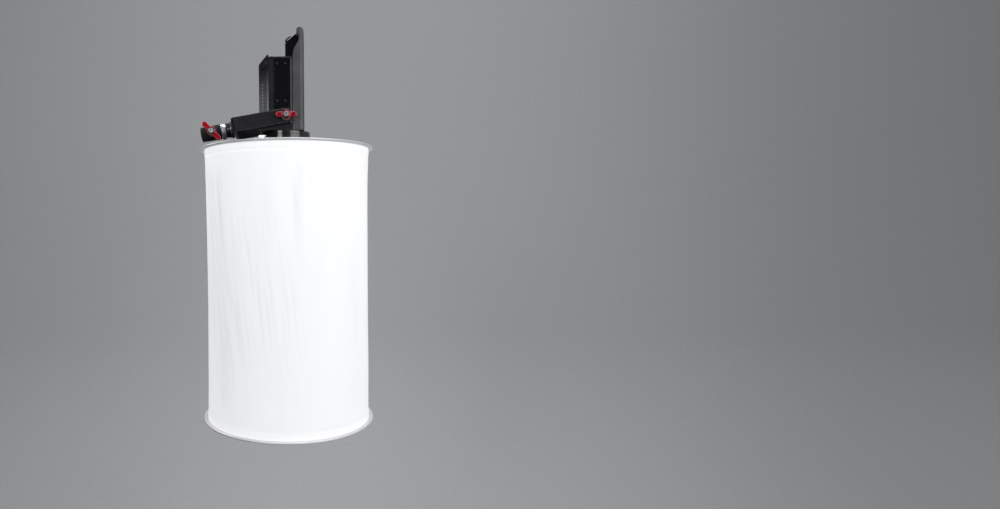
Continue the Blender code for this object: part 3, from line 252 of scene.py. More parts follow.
class Shape:
    """A mesh under construction, in its home's coordinates. Faces that wear or that get a painted highlight
    are marked as edge.
    """

    def __init__(self) -> None:
        """Starts with an empty mesh and its face mark."""
        self.mesh = bmesh.new()
        self.mesh.faces.layers.float.new("edge")

    def mark(self, faces: Sequence[bmesh.types.BMFace]) -> None:
        """Marks faces as edge, for the finishes.

        Args:
            faces: The faces.
        """
        layer = self.mesh.faces.layers.float["edge"]
        for face in faces:
            face[layer] = 1.0

    def prism(self, outline: Sequence[Place], low: float, high: float, axis: Axis = Axis.Z) -> "Shape":
        """Adds an extruded outline.

        Args:
            outline: The points, in the two other coordinates of the axis.
            low: Where the extrusion starts.
            high: Where it ends.
            axis: The direction it runs in.

        Returns:
            This shape.
        """
        face = self.mesh.faces.new([self.mesh.verts.new(axis.point(a, b, low)) for a, b in outline])
        grown = bmesh.ops.extrude_face_region(self.mesh, geom=[face])["geom"]
        moved = [item for item in grown if isinstance(item, bmesh.types.BMVert)]
        bmesh.ops.translate(self.mesh, verts=moved, vec=axis.point(0, 0, high - low))
        return self

    def bridge(self, first: Sequence[bmesh.types.BMVert], second: Sequence[bmesh.types.BMVert],
               closed: bool = True) -> list[bmesh.types.BMFace]:
        """Joins two rows of points with faces.

        Args:
            first: The first row, or a single point.
            second: The second row, or a single point.
            closed: Whether the rows run all the way round.

        Returns:
            The new faces.
        """
        count = max(len(first), len(second))
        faces = []
        for step in range(count if closed else count - 1):
            after = step + 1
            ring = (first[step % len(first)], first[after % len(first)],
                    second[after % len(second)], second[step % len(second)])
            faces.append(self.mesh.faces.new(list(dict.fromkeys(ring))))
        return faces

    def skin(self, rows: Sequence[Sequence[bmesh.types.BMVert]]) -> "Shape":
        """Joins each closed row of points to the next one with faces.

        Args:
            rows: The rows, in order.

        Returns:
            This shape.
        """
        for pair in zip(rows, rows[1:]):
            self.bridge(*pair)
        return self

    def lathe(self, profile: Outline, steps: int, centre: Place = CENTRE, aim: Place = UP,
              bright: Sequence[int] = (), hexagon_from: Optional[int] = None) -> "Shape":
        """Adds a turned profile.

        Args:
            profile: The (radius, height) points. One that starts and ends on the axis is solid.
            steps: How many chords the circle has.
            centre: Where height 0 is.
            aim: The direction of the axis.
            bright: The numbers of the profile's stretches that are marked as edge.
            hexagon_from: The first point from which the rings are hexagons, for a key's socket.

        Returns:
            This shape.
        """
        place = turned_to(aim, centre)
        rings = []
        for number, (radius, height) in enumerate(profile):
            ring = []
            for turn in circle(steps if radius else 1):
                reach = radius
                if hexagon_from is not None and number >= hexagon_from:
                    reach = radius / math.cos(turn % (60 * DEG) - 30 * DEG)
                ring.append(self.mesh.verts.new(place @ polar(reach, turn, height)))
            rings.append(ring)
        solid = profile[0][0] == 0 and profile[-1][0] == 0
        followers = rings[1:] if solid else rings[1:] + rings[:1]
        for number, pair in enumerate(zip(rings, followers)):
            faces = self.bridge(*pair)
            if number in bright:
                self.mark(faces)
        return self

    def tube(self, points: Sequence[Vector], radius: float, steps: int = 10) -> "Shape":
        """Adds a round wire with closed ends along a path.

        Args:
            points: The path's points.
            radius: The wire's radius.
            steps: How many sides the wire has.

        Returns:
            This shape.
        """
        tangents = [(after - before).normalized() for before, after in
                    zip([points[0], *points[:-1]], [*points[1:], points[-1]])]
        across = tangents[0].orthogonal().normalized()
        rings = []
        for point, tangent in zip(points, tangents):
            across = (across - tangent * across.dot(tangent)).normalized()
            other = tangent.cross(across)
            reaches = [math.cos(turn) * across + math.sin(turn) * other for turn in circle(steps)]
            rings.append([self.mesh.verts.new(point + radius * reach) for reach in reaches])
        self.skin(rings)
        self.mesh.faces.new(rings[0])
        self.mesh.faces.new(rings[-1])
        return self

    def turn(self, angle: float) -> "Shape":
        """Turns the whole shape about its home's upright axis."""
        bmesh.ops.rotate(self.mesh, verts=self.mesh.verts, matrix=Matrix.Rotation(angle, 3, "Z"))
        return self

    def tidy(self) -> None:
        """Welds what meets and turns every face outwards."""
        bmesh.ops.remove_doubles(self.mesh, verts=self.mesh.verts, dist=1e-7)
        bmesh.ops.recalc_face_normals(self.mesh, faces=self.mesh.faces)

    def stand_in(self, name: str) -> Thing:
        """Puts the shape into the scene for a modifier to read.

        Args:
            name: The name of the temporary object.

        Returns:
            The temporary object.
        """
        self.tidy()
        mesh = bpy.data.meshes.new(name)
        self.mesh.to_mesh(mesh)
        return enter(name, mesh)

    def join(self, tool: "Shape", how: Join) -> "Shape":
        """Cuts, fuses or keeps with a tool shape, which is used up.

        Args:
            tool: The other shape, in the same coordinates.
            how: The way it acts.

        Returns:
            This shape.
        """
        target = self.stand_in("under_work")
        helper = tool.stand_in("tool")
        boolean = target.modifiers.new("join", "BOOLEAN")
        boolean.operation = how.value
        boolean.solver = "MANIFOLD"
        boolean.object = helper
        worked = target.evaluated_get(bpy.context.evaluated_depsgraph_get())
        result = bpy.data.meshes.new_from_object(worked)
        self.mesh.clear()
        self.mesh.from_mesh(result)
        if "edge" not in self.mesh.faces.layers.float:
            self.mesh.faces.layers.float.new("edge")
        tool.mesh.free()
        for mesh in (target.data, helper.data, result):
            bpy.data.meshes.remove(mesh)
        return self

    def cut(self, tool: "Shape") -> "Shape":
        """Takes a tool shape away."""
        return self.join(tool, Join.CUT)

    def fuse(self, tool: "Shape") -> "Shape":
        """Joins a tool shape as one body."""
        return self.join(tool, Join.FUSE)

    def keep(self, tool: "Shape") -> "Shape":
        """Keeps what is inside a tool shape."""
        return self.join(tool, Join.KEEP)

    def drill(self, radius: float, low: float, high: float, steps: int, centre: Place = CENTRE,
              aim: Place = UP) -> "Shape":
        """Takes a round hole out, between two heights along an aim."""
        return self.cut(Shape().lathe(rod(radius, low, high), steps, centre, aim))

    def soften(self, width: float, segments: int = 3, limit: float = 40 * DEG,
               where: Optional[Callable[[Vector], bool]] = None) -> "Shape":
        """Rounds sharp edges and marks the new faces as edge.

        Args:
            width: How far from the edge the round starts.
            segments: How many faces cross it. One makes a chamfer.
            limit: The least angle of an edge that is rounded.
            where: Picks edges by their middle point.

        Returns:
            This shape.
        """
        self.tidy()
        edges = [edge for edge in self.mesh.edges
                 if edge.is_manifold and edge.calc_face_angle() > limit
                 and (where is None or where((edge.verts[0].co + edge.verts[1].co) / 2))]
        made = bmesh.ops.bevel(self.mesh, geom=edges, offset=width, offset_type="OFFSET", segments=segments,
                               profile=0.5, affect="EDGES", clamp_overlap=True)
        self.mark(made["faces"])
        return self


@dataclass(frozen=True)
class Screw:
    """Cap screw with a rounded head and a socket for a hexagon key."""

    head_radius: float
    head_height: float
    shank_radius: float
    shank_length: float
    steps: int = 36

    def add_to(self, shape: Shape, centre: Place, aim: Place) -> Shape:
        """Adds the screw to a shape.

        Args:
            shape: The shape that takes it.
            centre: The point under the head, on the screw's axis.
            aim: The direction out of the head.

        Returns:
            The shape.
        """
        head, top = self.head_radius, self.head_height
        edge = 0.28 * min(top, head)
        key, depth = 0.48 * head, 0.6 * top
        tip = 0.2 * self.shank_radius
        profile = [(0, -self.shank_length), (self.shank_radius - tip, -self.shank_length),
                   (self.shank_radius, tip - self.shank_length), (self.shank_radius, 0), (head, 0),
                   (head, 0.12 * top)]
        profile += arc((head - edge, top - edge), edge, 0, 90 * DEG, 4)
        profile += [(1.28 * key, top), (1.2 * key, top - 0.1 * depth)]
        hexagon_from = len(profile)
        profile += [(key, top - 0.12 * depth), (key, top - depth), (0, top - 1.15 * depth)]
        return shape.lathe(profile, self.steps, centre, aim, bright=range(6, 11), hexagon_from=hexagon_from)


class Nodes:
    """Node tree with the steps that the finishes and the studio share."""

    def __init__(self, tree: bpy.types.NodeTree) -> None:
        """Takes the tree that the steps add to."""
        self.tree = tree

    def feed(self, socket: Socket, value: Any) -> None:
        """Links a socket, or sets it when the value is a number or a colour.

        Args:
            socket: The input.
            value: Another node's output, a number or a colour.
        """
        if isinstance(value, bpy.types.NodeSocket):
            self.tree.links.new(value, socket)
        elif isinstance(value, tuple) and len(value) == 3 and socket.type == "RGBA":
            socket.default_value = (*value, 1.0)
        else:
            socket.default_value = value

    def node(self, kind: str, inputs: Optional[dict[Any, Any]] = None, **settings: Any) -> bpy.types.Node:
        """Adds a node.

        Args:
            kind: The node's type.
            inputs: What its inputs are fed, by name or number.
            settings: The node's own options.

        Returns:
            The node.
        """
        made = self.tree.nodes.new(kind)
        for key, value in settings.items():
            setattr(made, key, value)
        for key, value in (inputs or {}).items():
            self.feed(made.inputs[key], value)
        return made

    def spot(self) -> Socket:
        """Returns the object's own coordinates."""
        return self.node("ShaderNodeTexCoord").outputs["Object"]

    def place(self, stretch: Place = (1, 1, 1)) -> Socket:
        """Returns the object's own coordinates, multiplied by a factor for each axis."""
        return self.node("ShaderNodeMapping", {"Vector": self.spot(), "Scale": tuple(stretch)}).outputs[0]

    def parts(self, vector: Socket) -> Sequence[Socket]:
        """Returns the three numbers of a vector."""
        return self.node("ShaderNodeSeparateXYZ", {0: vector}).outputs

    def sum(self, operation: str, first: Any, second: Any = 0.0) -> Socket:
        """Returns the result of a calculation with one or two numbers."""
        return self.node("ShaderNodeMath", {0: first, 1: second}, operation=operation).outputs[0]

    def times(self, first: Any, second: Any) -> Socket:
        """Returns the product of two numbers."""
        return self.sum("MULTIPLY", first, second)

    def arrow(self, operation: str, *vectors: Any, output: Any = 0) -> Socket:
        """Returns the result of a calculation with vectors."""
        made = self.node("ShaderNodeVectorMath", dict(enumerate(vectors)), operation=operation)
        return made.outputs[output]

    def about(self, centre: Place, aim: Place) -> tuple[Socket, Socket]:
        """Measures a point from a turning axis.

        Args:
            centre: A point of the axis in the row frame.
            aim: The axis' unit direction.

        Returns:
            The sockets of the distance from the axis and the height along it.
        """
        offset = self.arrow("SUBTRACT", self.spot(), tuple(centre))
        height = self.arrow("DOT_PRODUCT", offset, tuple(aim), output="Value")
        length = self.arrow("LENGTH", offset, output="Value")
        square = self.sum("SUBTRACT", self.times(length, length), self.times(height, height))
        return self.sum("SQRT", self.sum("MAXIMUM", square, 0.0)), height

    def around(self, centre: Place, radius: float) -> tuple[Socket, Socket]:
        """Returns the sockets of the distance round an upright axis at a radius, and of the height."""
        x, y, height = self.parts(self.arrow("SUBTRACT", self.spot(), tuple(centre)))
        return self.times(self.sum("ARCTAN2", y, x), radius), height

    def vector(self, x: Any, y: Any) -> Socket:
        """Returns two numbers as a flat vector."""
        return self.node("ShaderNodeCombineXYZ", {0: x, 1: y}).outputs[0]

    def noise(self, where: Socket, scale: float, detail: float = 3.0, rough: float = 0.5) -> Socket:
        """Returns soft noise from 0 to 1."""
        inputs = {"Vector": where, "Scale": scale, "Detail": detail, "Roughness": rough}
        return self.node("ShaderNodeTexNoise", inputs).outputs[0]

    def cells(self, where: Socket, scale: float) -> Socket:
        """Returns the distance to the nearest of many scattered points."""
        return self.node("ShaderNodeTexVoronoi", {"Vector": where, "Scale": scale}).outputs["Distance"]

    def bricks(self, where: Socket, scale: float, joint: float, colour: Colour, other: float,
               mortar: float) -> Socket:
        """Lays a field of bricks.

        Args:
            where: The place.
            scale: Its scale.
            joint: The width of the joints.
            colour: The bricks' colour.
            other: The factor on every other brick's colour.
            mortar: The factor on the joints' colour.

        Returns:
            The colour.
        """
        inputs = {"Vector": where, "Scale": scale, "Mortar Size": joint, "Color1": colour,
                  "Color2": shade(colour, other), "Mortar": shade(colour, mortar)}
        return self.node("ShaderNodeTexBrick", inputs).outputs[0]

    def level(self, value: Socket, low: float, high: float, first: Any = 0.0, second: Any = 1.0) -> Socket:
        """Returns a value spread from one range to another, held at its ends."""
        inputs = {"Value": value, "From Min": low, "From Max": high, "To Min": first, "To Max": second}
        return self.node("ShaderNodeMapRange", inputs).outputs[0]

    def blend(self, share: Any, first: Any, second: Any) -> Socket:
        """Returns a mix of two colours."""
        return self.node("ShaderNodeMix", {0: share, 6: first, 7: second}, data_type="RGBA").outputs[2]

    def mark(self, name: str = "edge") -> Socket:
        """Returns a mark that the mesh carries."""
        return self.node("ShaderNodeAttribute", attribute_name=name).outputs["Fac"]

    def highlight_edges(self, tint: Socket, share: float, colour: Colour) -> Socket:
        """Returns a colour that turns into a lighter one along the marked edges: a painted edge highlight.
        """
        return self.blend(self.times(self.mark(), share), tint, colour)


class Recipe(Nodes):
    """Node tree of one material."""

    def __init__(self, name: str) -> None:
        """Makes the material and finds its shader.

        Args:
            name: The material's name.
        """
        self.material = bpy.data.materials.new(name)
        self.material.use_nodes = True
        super().__init__(self.material.node_tree)
        self.shader = self.tree.nodes["Principled BSDF"]

    def set(self, **values: Any) -> None:
        """Sets or links the shader's sockets.

        Args:
            values: Socket names, with _ for a space, and a number, a colour or another node's socket.
        """
        for key, value in values.items():
            words = " ".join("IOR" if word == "ior" else word.capitalize() for word in key.split("_"))
            self.feed(self.shader.inputs[words], value)

    def relief(self, height: Socket, depth: float, strength: float = 1.0) -> None:
        """Lays a relief over the shader's normal.

        Args:
            height: The relief's height, from 0 to 1.
            depth: The height of 1 in metres.
            strength: How much of it shows.
        """
        inputs = {"Height": height, "Distance": depth, "Strength": strength}
        linked = self.shader.inputs["Normal"].links
        if linked:
            inputs["Normal"] = linked[0].from_socket
        self.feed(self.shader.inputs["Normal"], self.node("ShaderNodeBump", inputs).outputs[0])


DRUM_AXIS = tuple(Home.DRUM.matrix().translation)


def shade(colour: Colour, factor: float) -> Colour:
    """Returns a colour made lighter or darker by a factor."""
    return tuple(min(1.0, part * factor) for part in colour)


@dataclass(frozen=True)
class Finish:
    """A surface finish. Its material is made the first time that it is asked for."""

    name: str
    slot: str
    colour: Colour
    roughness: float

    def mix(self, recipe: Recipe) -> None:
        """Fills the recipe; each kind of finish has its own.

        Args:
            recipe: The material\'s nodes.
        """
        raise NotImplementedError

    def material(self) -> bpy.types.Material:
        """Gives the finish's material.

        Returns:
            The material, with its nodes.
        """
        found = bpy.data.materials.get(self.name)
        if found is None:
            recipe = Recipe(self.name)
            self.mix(recipe)
            found = recipe.material
        return found


@dataclass(frozen=True)
class PowderCoat(Finish):
    """Baked paint with a fine pebble, a little dust, a painted highlight along its edges, and bare metal
    where edges have rubbed.
    """

    metallic: float = 0.0
    pebble: float = 0.7 * MM
    bare: Colour = (0.45, 0.45, 0.47)
    wear: float = 0.35
    edge_highlight: float = 1.9
    gloss: float = 0.5

    def mix(self, recipe: Recipe) -> None:
        """Fills the recipe with paint, pebble, dust, a painted edge highlight and rubbed edges.

        Args:
            recipe: The material\'s nodes.
        """
        where = recipe.place()
        cloud = recipe.noise(where, 38, 4, 0.6)
        speck = recipe.noise(where, 1 / self.pebble, 2)
        patch = recipe.level(cloud, 0.35, 0.7)
        tint = recipe.blend(patch, shade(self.colour, 0.82), shade(self.colour, 1.2))
        tint = recipe.blend(recipe.level(speck, 0.55, 0.8, 0.0, 0.35), tint, shade(self.colour, 1.6))
        edge = recipe.mark()
        # Painted highlight: the marked edges are painted a lighter shade of the paint.
        tint = recipe.blend(recipe.times(edge, 0.8), tint, shade(self.colour, self.edge_highlight))
        rub = recipe.level(recipe.noise(where, 160, 5, 0.7), 0.62 - 0.25 * self.wear, 0.72)
        rub = recipe.times(rub, edge)
        tint = recipe.blend(rub, tint, self.bare)
        rough = recipe.level(recipe.noise(where, 22, 5, 0.65), 0.3, 0.7, self.roughness - 0.06,
                             self.roughness + 0.09)
        rough = recipe.sum("SUBTRACT", rough, recipe.times(edge, 0.1))
        recipe.set(base_color=self.paint_light(recipe, tint), roughness=rough, metallic=self.metallic,
                   specular_ior_level=self.gloss)
        recipe.relief(recipe.cells(where, 1 / self.pebble), 0.05 * MM, 0.55)

    def paint_light(self, recipe: Recipe, tint: Socket) -> Socket:
        """Returns the paint's colour with its painted light; plain paint keeps its own."""
        return tint


@dataclass(frozen=True)
class LowEndLitCoat(PowderCoat):
    """Powder coat painted lighter towards its low end: painted light from below."""

    high: float = 0.0
    low: float = 0.0
    low_light_lift: float = 3.0

    def paint_light(self, recipe: Recipe, tint: Socket) -> Socket:
        """Paints light onto the paint, lighter towards the piece's low end.

        Args:
            recipe: The recipe.
            tint: The paint's colour before the painted light.

        Returns:
            The colour with the painted light.
        """
        height = recipe.parts(recipe.place())[2]
        patch = recipe.level(recipe.noise(recipe.place((1, 1, 0.4)), 90, 4, 0.6), 0.3, 0.7, 0.75, 1.0)
        # Painted light: lighter towards the low end, in soft patches.
        share = recipe.times(recipe.level(height, self.high, self.low), patch)
        return recipe.blend(share, tint, shade(self.colour, self.low_light_lift))


@dataclass(frozen=True)
class Anodised(Finish):
    """Dyed aluminium with a blasted face and lighter cut edges: the cut metal, with a painted highlight."""

    edge: Colour = (0.85, 0.2, 0.25)

    def mix(self, recipe: Recipe) -> None:
        """Fills the recipe with dyed metal, a fine blast and cut edges that carry a painted highlight.

        Args:
            recipe: The material\'s nodes.
        """
        where = recipe.place()
        cloud = recipe.noise(where, 120, 4, 0.6)
        tint = recipe.blend(recipe.level(cloud, 0.3, 0.7), shade(self.colour, 0.8), shade(self.colour, 1.25))
        edge = recipe.mark()
        # Painted highlight: the marked edges turn a light pinkish red.
        share = recipe.times(edge, recipe.level(cloud, 0.2, 0.6, 0.55, 0.95))
        tint = recipe.blend(share, tint, self.edge)
        rough = recipe.level(recipe.noise(where, 260, 3), 0.3, 0.7, self.roughness - 0.05,
                             self.roughness + 0.08)
        recipe.set(base_color=tint, roughness=rough, metallic=0.85)
        recipe.relief(recipe.noise(where, 1400, 2), 0.02 * MM, 0.5)


@dataclass(frozen=True)
class TurnedMetal(Finish):
    """Bare or plated metal with tool marks round an axis, soft stains, fine scratches and a painted
    highlight on its marked edges.
    """

    centre: Place = DRUM_AXIS
    aim: Place = UP
    pitch: float = 0.6 * MM
    rim_highlight: float = 1.25
    metallic: float = 1.0
    stain: float = 0.8

    def mix(self, recipe: Recipe) -> None:
        """Fills the recipe with metal, tool marks, stains and a painted edge highlight.

        Args:
            recipe: The material\'s nodes.
        """
        radius, height = recipe.about(self.centre, self.aim)
        lay = recipe.vector(radius, height)
        marks = recipe.noise(lay, 1 / self.pitch, 4, 0.7)
        where = recipe.place()
        cloud = recipe.noise(where, 30, 5, 0.62)
        tint = recipe.blend(recipe.level(cloud, 0.32, 0.68), shade(self.colour, self.stain), self.colour)
        tint = recipe.blend(recipe.level(marks, 0.3, 0.7, 0.0, 0.5), tint, shade(self.colour, 1.12))
        # Painted highlight: the marked edges and rims are painted lighter.
        tint = recipe.highlight_edges(tint, 0.85, shade(self.colour, self.rim_highlight))
        rough = recipe.level(marks, 0.25, 0.75, self.roughness - 0.05, self.roughness + 0.1)
        rough = recipe.sum("ADD", rough, recipe.level(cloud, 0.4, 0.8, 0.0, 0.06))
        recipe.set(base_color=tint, roughness=rough, metallic=self.metallic)
        recipe.relief(marks, 0.03 * MM, 0.4)
        recipe.relief(recipe.noise(recipe.place((1, 1, 6)), 700, 3), 0.01 * MM, 0.3)


@dataclass(frozen=True)
class Cloth(Finish):
    """Woven cloth on an upright drum: warp and weft, slubs, and painted shade in the folds and creases. It
    may glow.
    """

    centre: Place = DRUM_AXIS
    radius: float = 165 * MM
    thread: float = 0.55 * MM
    glow: float = 0.0
    # How much the glow is painted dimmer down the drum: a painted fall-off of light.
    fade: float = 0.0
    flat: bool = False

    def mix(self, recipe: Recipe) -> None:
        """Fills the recipe with threads, slubs, painted fold shade and the glow.

        Args:
            recipe: The material\'s nodes.
        """
        across, up = recipe.around(self.centre, self.radius)
        if self.flat:
            across, up, _ = recipe.parts(recipe.place())
        turns = 2 * math.pi / self.thread
        warp = recipe.sum("SINE", recipe.times(across, turns))
        weft = recipe.sum("SINE", recipe.times(up, turns))
        weave = recipe.level(recipe.times(warp, weft), -1.0, 1.0)
        sheet = recipe.vector(across, recipe.times(up, 0.045))
        cross = recipe.vector(recipe.times(across, 0.05), up)
        slub = recipe.noise(sheet, 420, 5, 0.62)
        band = recipe.noise(cross, 330, 4, 0.6)
        soft = recipe.noise(sheet, 60, 4, 0.55)
        thick = recipe.sum("ADD", recipe.times(slub, 0.65), recipe.times(band, 0.35))
        fold = recipe.mark("fold")
        lean = recipe.sum("ADD", across, recipe.times(up, 0.12))
        crease = recipe.noise(recipe.vector(lean, recipe.times(up, 0.03)), 150, 3, 0.5)
        crease = recipe.times(recipe.level(crease, 0.5, 0.6), recipe.level(fold, 0.15, 0.6))
        tint = recipe.blend(recipe.level(thick, 0.35, 0.65), shade(self.colour, 0.93), self.colour)
        # Painted shade: the cloth is darker where the folds draw it in.
        tint = recipe.blend(recipe.level(fold, 0.0, 1.0, 0.0, 0.35), tint, shade(self.colour, 0.72))
        rough = recipe.level(thick, 0.3, 0.7, self.roughness - 0.05, self.roughness + 0.06)
        recipe.set(base_color=tint, roughness=rough, sheen_weight=0.25, sheen_roughness=0.4)
        recipe.relief(weave, 0.06 * MM, 0.35)
        recipe.relief(thick, 0.25 * MM, 0.5)
        if self.glow:
            lit = recipe.blend(recipe.level(thick, 0.36, 0.64), (0.93, 0.95, 0.985), (1.0, 1.0, 1.0))
            lit = recipe.blend(recipe.level(soft, 0.4, 0.75, 0.0, 0.5), lit, (0.93, 0.945, 0.97))
            # Painted shade: the glow is darker in the folds and along the creases.
            lit = recipe.blend(recipe.level(fold, 0.0, 1.0, 0.0, 0.6), lit, (0.82, 0.83, 0.86))
            lit = recipe.blend(recipe.times(crease, 0.7), lit, (0.72, 0.73, 0.76))
            # Painted fall-off of light: the glow dims down the drum, away from the lamp.
            if self.fade:
                far = recipe.level(up, -100 * MM, -520 * MM, 0.0, self.fade)
                lit = recipe.blend(far, lit, (0.8, 0.805, 0.82))
            recipe.set(emission_color=lit, emission_strength=self.glow)


@dataclass(frozen=True)
class Plastic(Finish):
    """Moulded plastic or composite with a spark-eroded grain, faint flow marks and a painted highlight on
    its marked edges.
    """

    grain: float = 0.5 * MM

    def mix(self, recipe: Recipe) -> None:
        """Fills the recipe with grain, flow marks and a painted edge highlight.

        Args:
            recipe: The material\'s nodes.
        """
        where = recipe.place()
        flow = recipe.noise(recipe.place((1, 1, 3)), 55, 4, 0.6)
        grain = recipe.noise(where, 1 / self.grain, 3, 0.6)
        tint = recipe.blend(recipe.level(flow, 0.35, 0.7), shade(self.colour, 0.8), shade(self.colour, 1.25))
        # Painted highlight: the marked edges are painted lighter.
        tint = recipe.highlight_edges(tint, 0.6, shade(self.colour, 1.8))
        rough = recipe.level(grain, 0.3, 0.7, self.roughness - 0.07, self.roughness + 0.09)
        recipe.set(base_color=tint, roughness=rough)
        recipe.relief(grain, 0.04 * MM, 0.5)


@dataclass(frozen=True)
class Gloss(Finish):
    """Hard black lacquer with faint polishing rings, finger smears and a painted highlight on its marked
    edges.
    """

    centre: Place = DRUM_AXIS

    def mix(self, recipe: Recipe) -> None:
        """Fills the recipe with lacquer, rings, smears and a painted edge highlight.

        Args:
            recipe: The material\'s nodes.
        """
        radius, height = recipe.about(self.centre, (0.0, 0.0, 1.0))
        rings = recipe.noise(recipe.vector(radius, height), 900, 3, 0.6)
        smear = recipe.noise(recipe.place((1, 1, 2)), 45, 5, 0.7)
        tint = recipe.blend(recipe.level(smear, 0.4, 0.75), self.colour, shade(self.colour, 1.9))
        # Painted highlight: the marked edges are painted much lighter.
        tint = recipe.highlight_edges(tint, 0.7, shade(self.colour, 4.0))
        rough = recipe.level(smear, 0.35, 0.75, self.roughness, self.roughness + 0.16)
        recipe.set(base_color=tint, roughness=rough, metallic=0.2, coat_weight=0.5, coat_roughness=0.08)
        recipe.relief(rings, 0.01 * MM, 0.35)


@dataclass(frozen=True)
class Glass(Finish):
    """Clear glass with a faint green body and wipe marks."""

    def mix(self, recipe: Recipe) -> None:
        """Fills the recipe with clear glass and wipe marks.

        Args:
            recipe: The material\'s nodes.
        """
        wipe = recipe.noise(recipe.place((1, 4, 1)), 60, 5, 0.7)
        tint = recipe.blend(recipe.level(wipe, 0.4, 0.7), self.colour, shade(self.colour, 0.96))
        rough = recipe.level(wipe, 0.45, 0.8, self.roughness, self.roughness + 0.1)
        recipe.set(base_color=tint, roughness=rough, transmission_weight=1.0, ior=1.5)


@dataclass(frozen=True)
class CircuitBoard(Finish):
    """Lacquered board with copper tracks under the mask and pale printed pads."""

    def mix(self, recipe: Recipe) -> None:
        """Fills the recipe with mask, tracks and pads.

        Args:
            recipe: The material\'s nodes.
        """
        where = recipe.place()
        tracks = recipe.bricks(where, 90.0, 0.03, self.colour, 1.3, 2.4)
        dots = recipe.level(recipe.cells(where, 190), 0.0, 0.22, 1.0, 0.0)
        pads = recipe.sum("GREATER_THAN", dots, 0.5)
        tint = recipe.blend(pads, tracks, (0.6, 0.58, 0.5))
        recipe.set(base_color=tint, roughness=self.roughness, coat_weight=0.4)
        recipe.relief(dots, 0.15 * MM, 0.6)


@dataclass(frozen=True)
class Phosphor(Finish):
    """Yellow phosphor gel with its rows of small dies showing through."""

    pitch: float = 1.9 * MM

    def mix(self, recipe: Recipe) -> None:
        """Fills the recipe with gel and dies.

        Args:
            recipe: The material\'s nodes.
        """
        where = recipe.place()
        dies = recipe.bricks(where, 0.5 / self.pitch, 0.06, self.colour, 0.85, 1.15)
        gel = recipe.noise(where, 300, 3)
        rough = recipe.level(gel, 0.3, 0.7, self.roughness - 0.1, self.roughness + 0.1)
        recipe.set(base_color=dies, roughness=rough, coat_weight=0.6)
        recipe.relief(gel, 0.05 * MM, 0.5)


YOKE_AIM = (math.cos(YOKE_SLOPE), 0.0, math.sin(YOKE_SLOPE))
PIVOT = tuple(Home.YOKE.matrix() @ Vector((SOCKET_TO_PIVOT, 0, 0)))
CLAMP_X = 24 * MM

# The dark cast coat's edges get a strong painted highlight.
DARK_CAST = PowderCoat("dark_cast_coat", "dark_cast", (0.018, 0.0185, 0.022), 0.46, metallic=0.3,
                       bare=(0.3, 0.3, 0.32), wear=0.35, edge_highlight=5.0, gloss=0.35)
SATIN_GREY = PowderCoat("satin_grey_coat", "satin_grey", (0.105, 0.1065, 0.1125), 0.42, metallic=0.15,
                        pebble=0.5 * MM, bare=(0.5, 0.5, 0.52), wear=0.2, edge_highlight=1.35)
PANEL_EDGE = replace(SATIN_GREY, name="panel_edge_coat", colour=(0.05, 0.051, 0.054))
BLUE_BLACK = PowderCoat("blue_black_coat", "blue_black", (0.006, 0.0062, 0.009), 0.55, pebble=0.6 * MM,
                        bare=(0.22, 0.22, 0.24), wear=0.3, edge_highlight=2.8, gloss=0.06)
# The grille's coat is painted lighter towards its low end and along its edges: painted light.
GRILLE_STEEL = LowEndLitCoat("grille_steel_coat", "perforated_steel", (0.01, 0.0103, 0.0115), 0.5,
                           metallic=0.1, pebble=0.9 * MM, bare=(0.3, 0.3, 0.32), wear=0.3, edge_highlight=4.0,
                           gloss=0.2, high=122 * MM, low=34 * MM, low_light_lift=34.0)
# Painted shade: the grille's inside is painted darker than its steel, so the holes read dark.
GRILLE_SHADE_INSIDE = PowderCoat("grille_inside_painted_shade", "blue_black", (0.004, 0.004, 0.005), 0.7, gloss=0.1)
GLOSS_BLACK = Gloss("gloss_black_lacquer", "gloss_black", (0.01, 0.01, 0.012), 0.1)
RED = Anodised("red_anodised_knob", "red_anodised", (0.5, 0.006, 0.02), 0.3)
LEVER_METAL = TurnedMetal("polished_aluminium_sheet", "polished", (0.86, 0.86, 0.88), 0.24, pitch=2 * MM)
BRIGHT_TRIM = TurnedMetal("bright_nickel_sheet", "polished", (0.94, 0.94, 0.95), 0.38, pitch=2 * MM,
                          metallic=0.35, stain=0.9)
# The dark sleeve's marked rims are painted near white: a painted highlight.
BARREL_METAL = TurnedMetal("dark_turned_sleeve", "polished", (0.07, 0.07, 0.075), 0.3, centre=CENTRE,
                           aim=YOKE_AIM, rim_highlight=12.0, metallic=0.9)
MACHINED = TurnedMetal("machined_aluminium", "raw_aluminium", (0.6, 0.61, 0.63), 0.34)
EXTRUDED = TurnedMetal("black_anodised_extrusion", "raw_aluminium", (0.022, 0.022, 0.025), 0.5,
                       aim=AHEAD, centre=(0.0, 0.0, 0.1), pitch=1.2 * MM, metallic=0.6)
HOOP_SILVER = TurnedMetal("hoop_silver_satin", "hoop_silver", (0.87, 0.875, 0.885), 0.32, pitch=0.9 * MM,
                          rim_highlight=1.05, metallic=0.3, stain=0.95)
PIVOT_STEEL = TurnedMetal("pivot_steel_turned", "steel", (0.5, 0.5, 0.52), 0.26, centre=PIVOT, aim=ACROSS)
CLAMP_STEEL = replace(PIVOT_STEEL, name="clamp_steel_turned",
                      centre=tuple(Home.YOKE.matrix() @ Vector((CLAMP_X, 0, 0))))
SPRUNG_STEEL = TurnedMetal("spoke_steel", "steel", (0.48, 0.48, 0.5), 0.3, pitch=3 * MM)
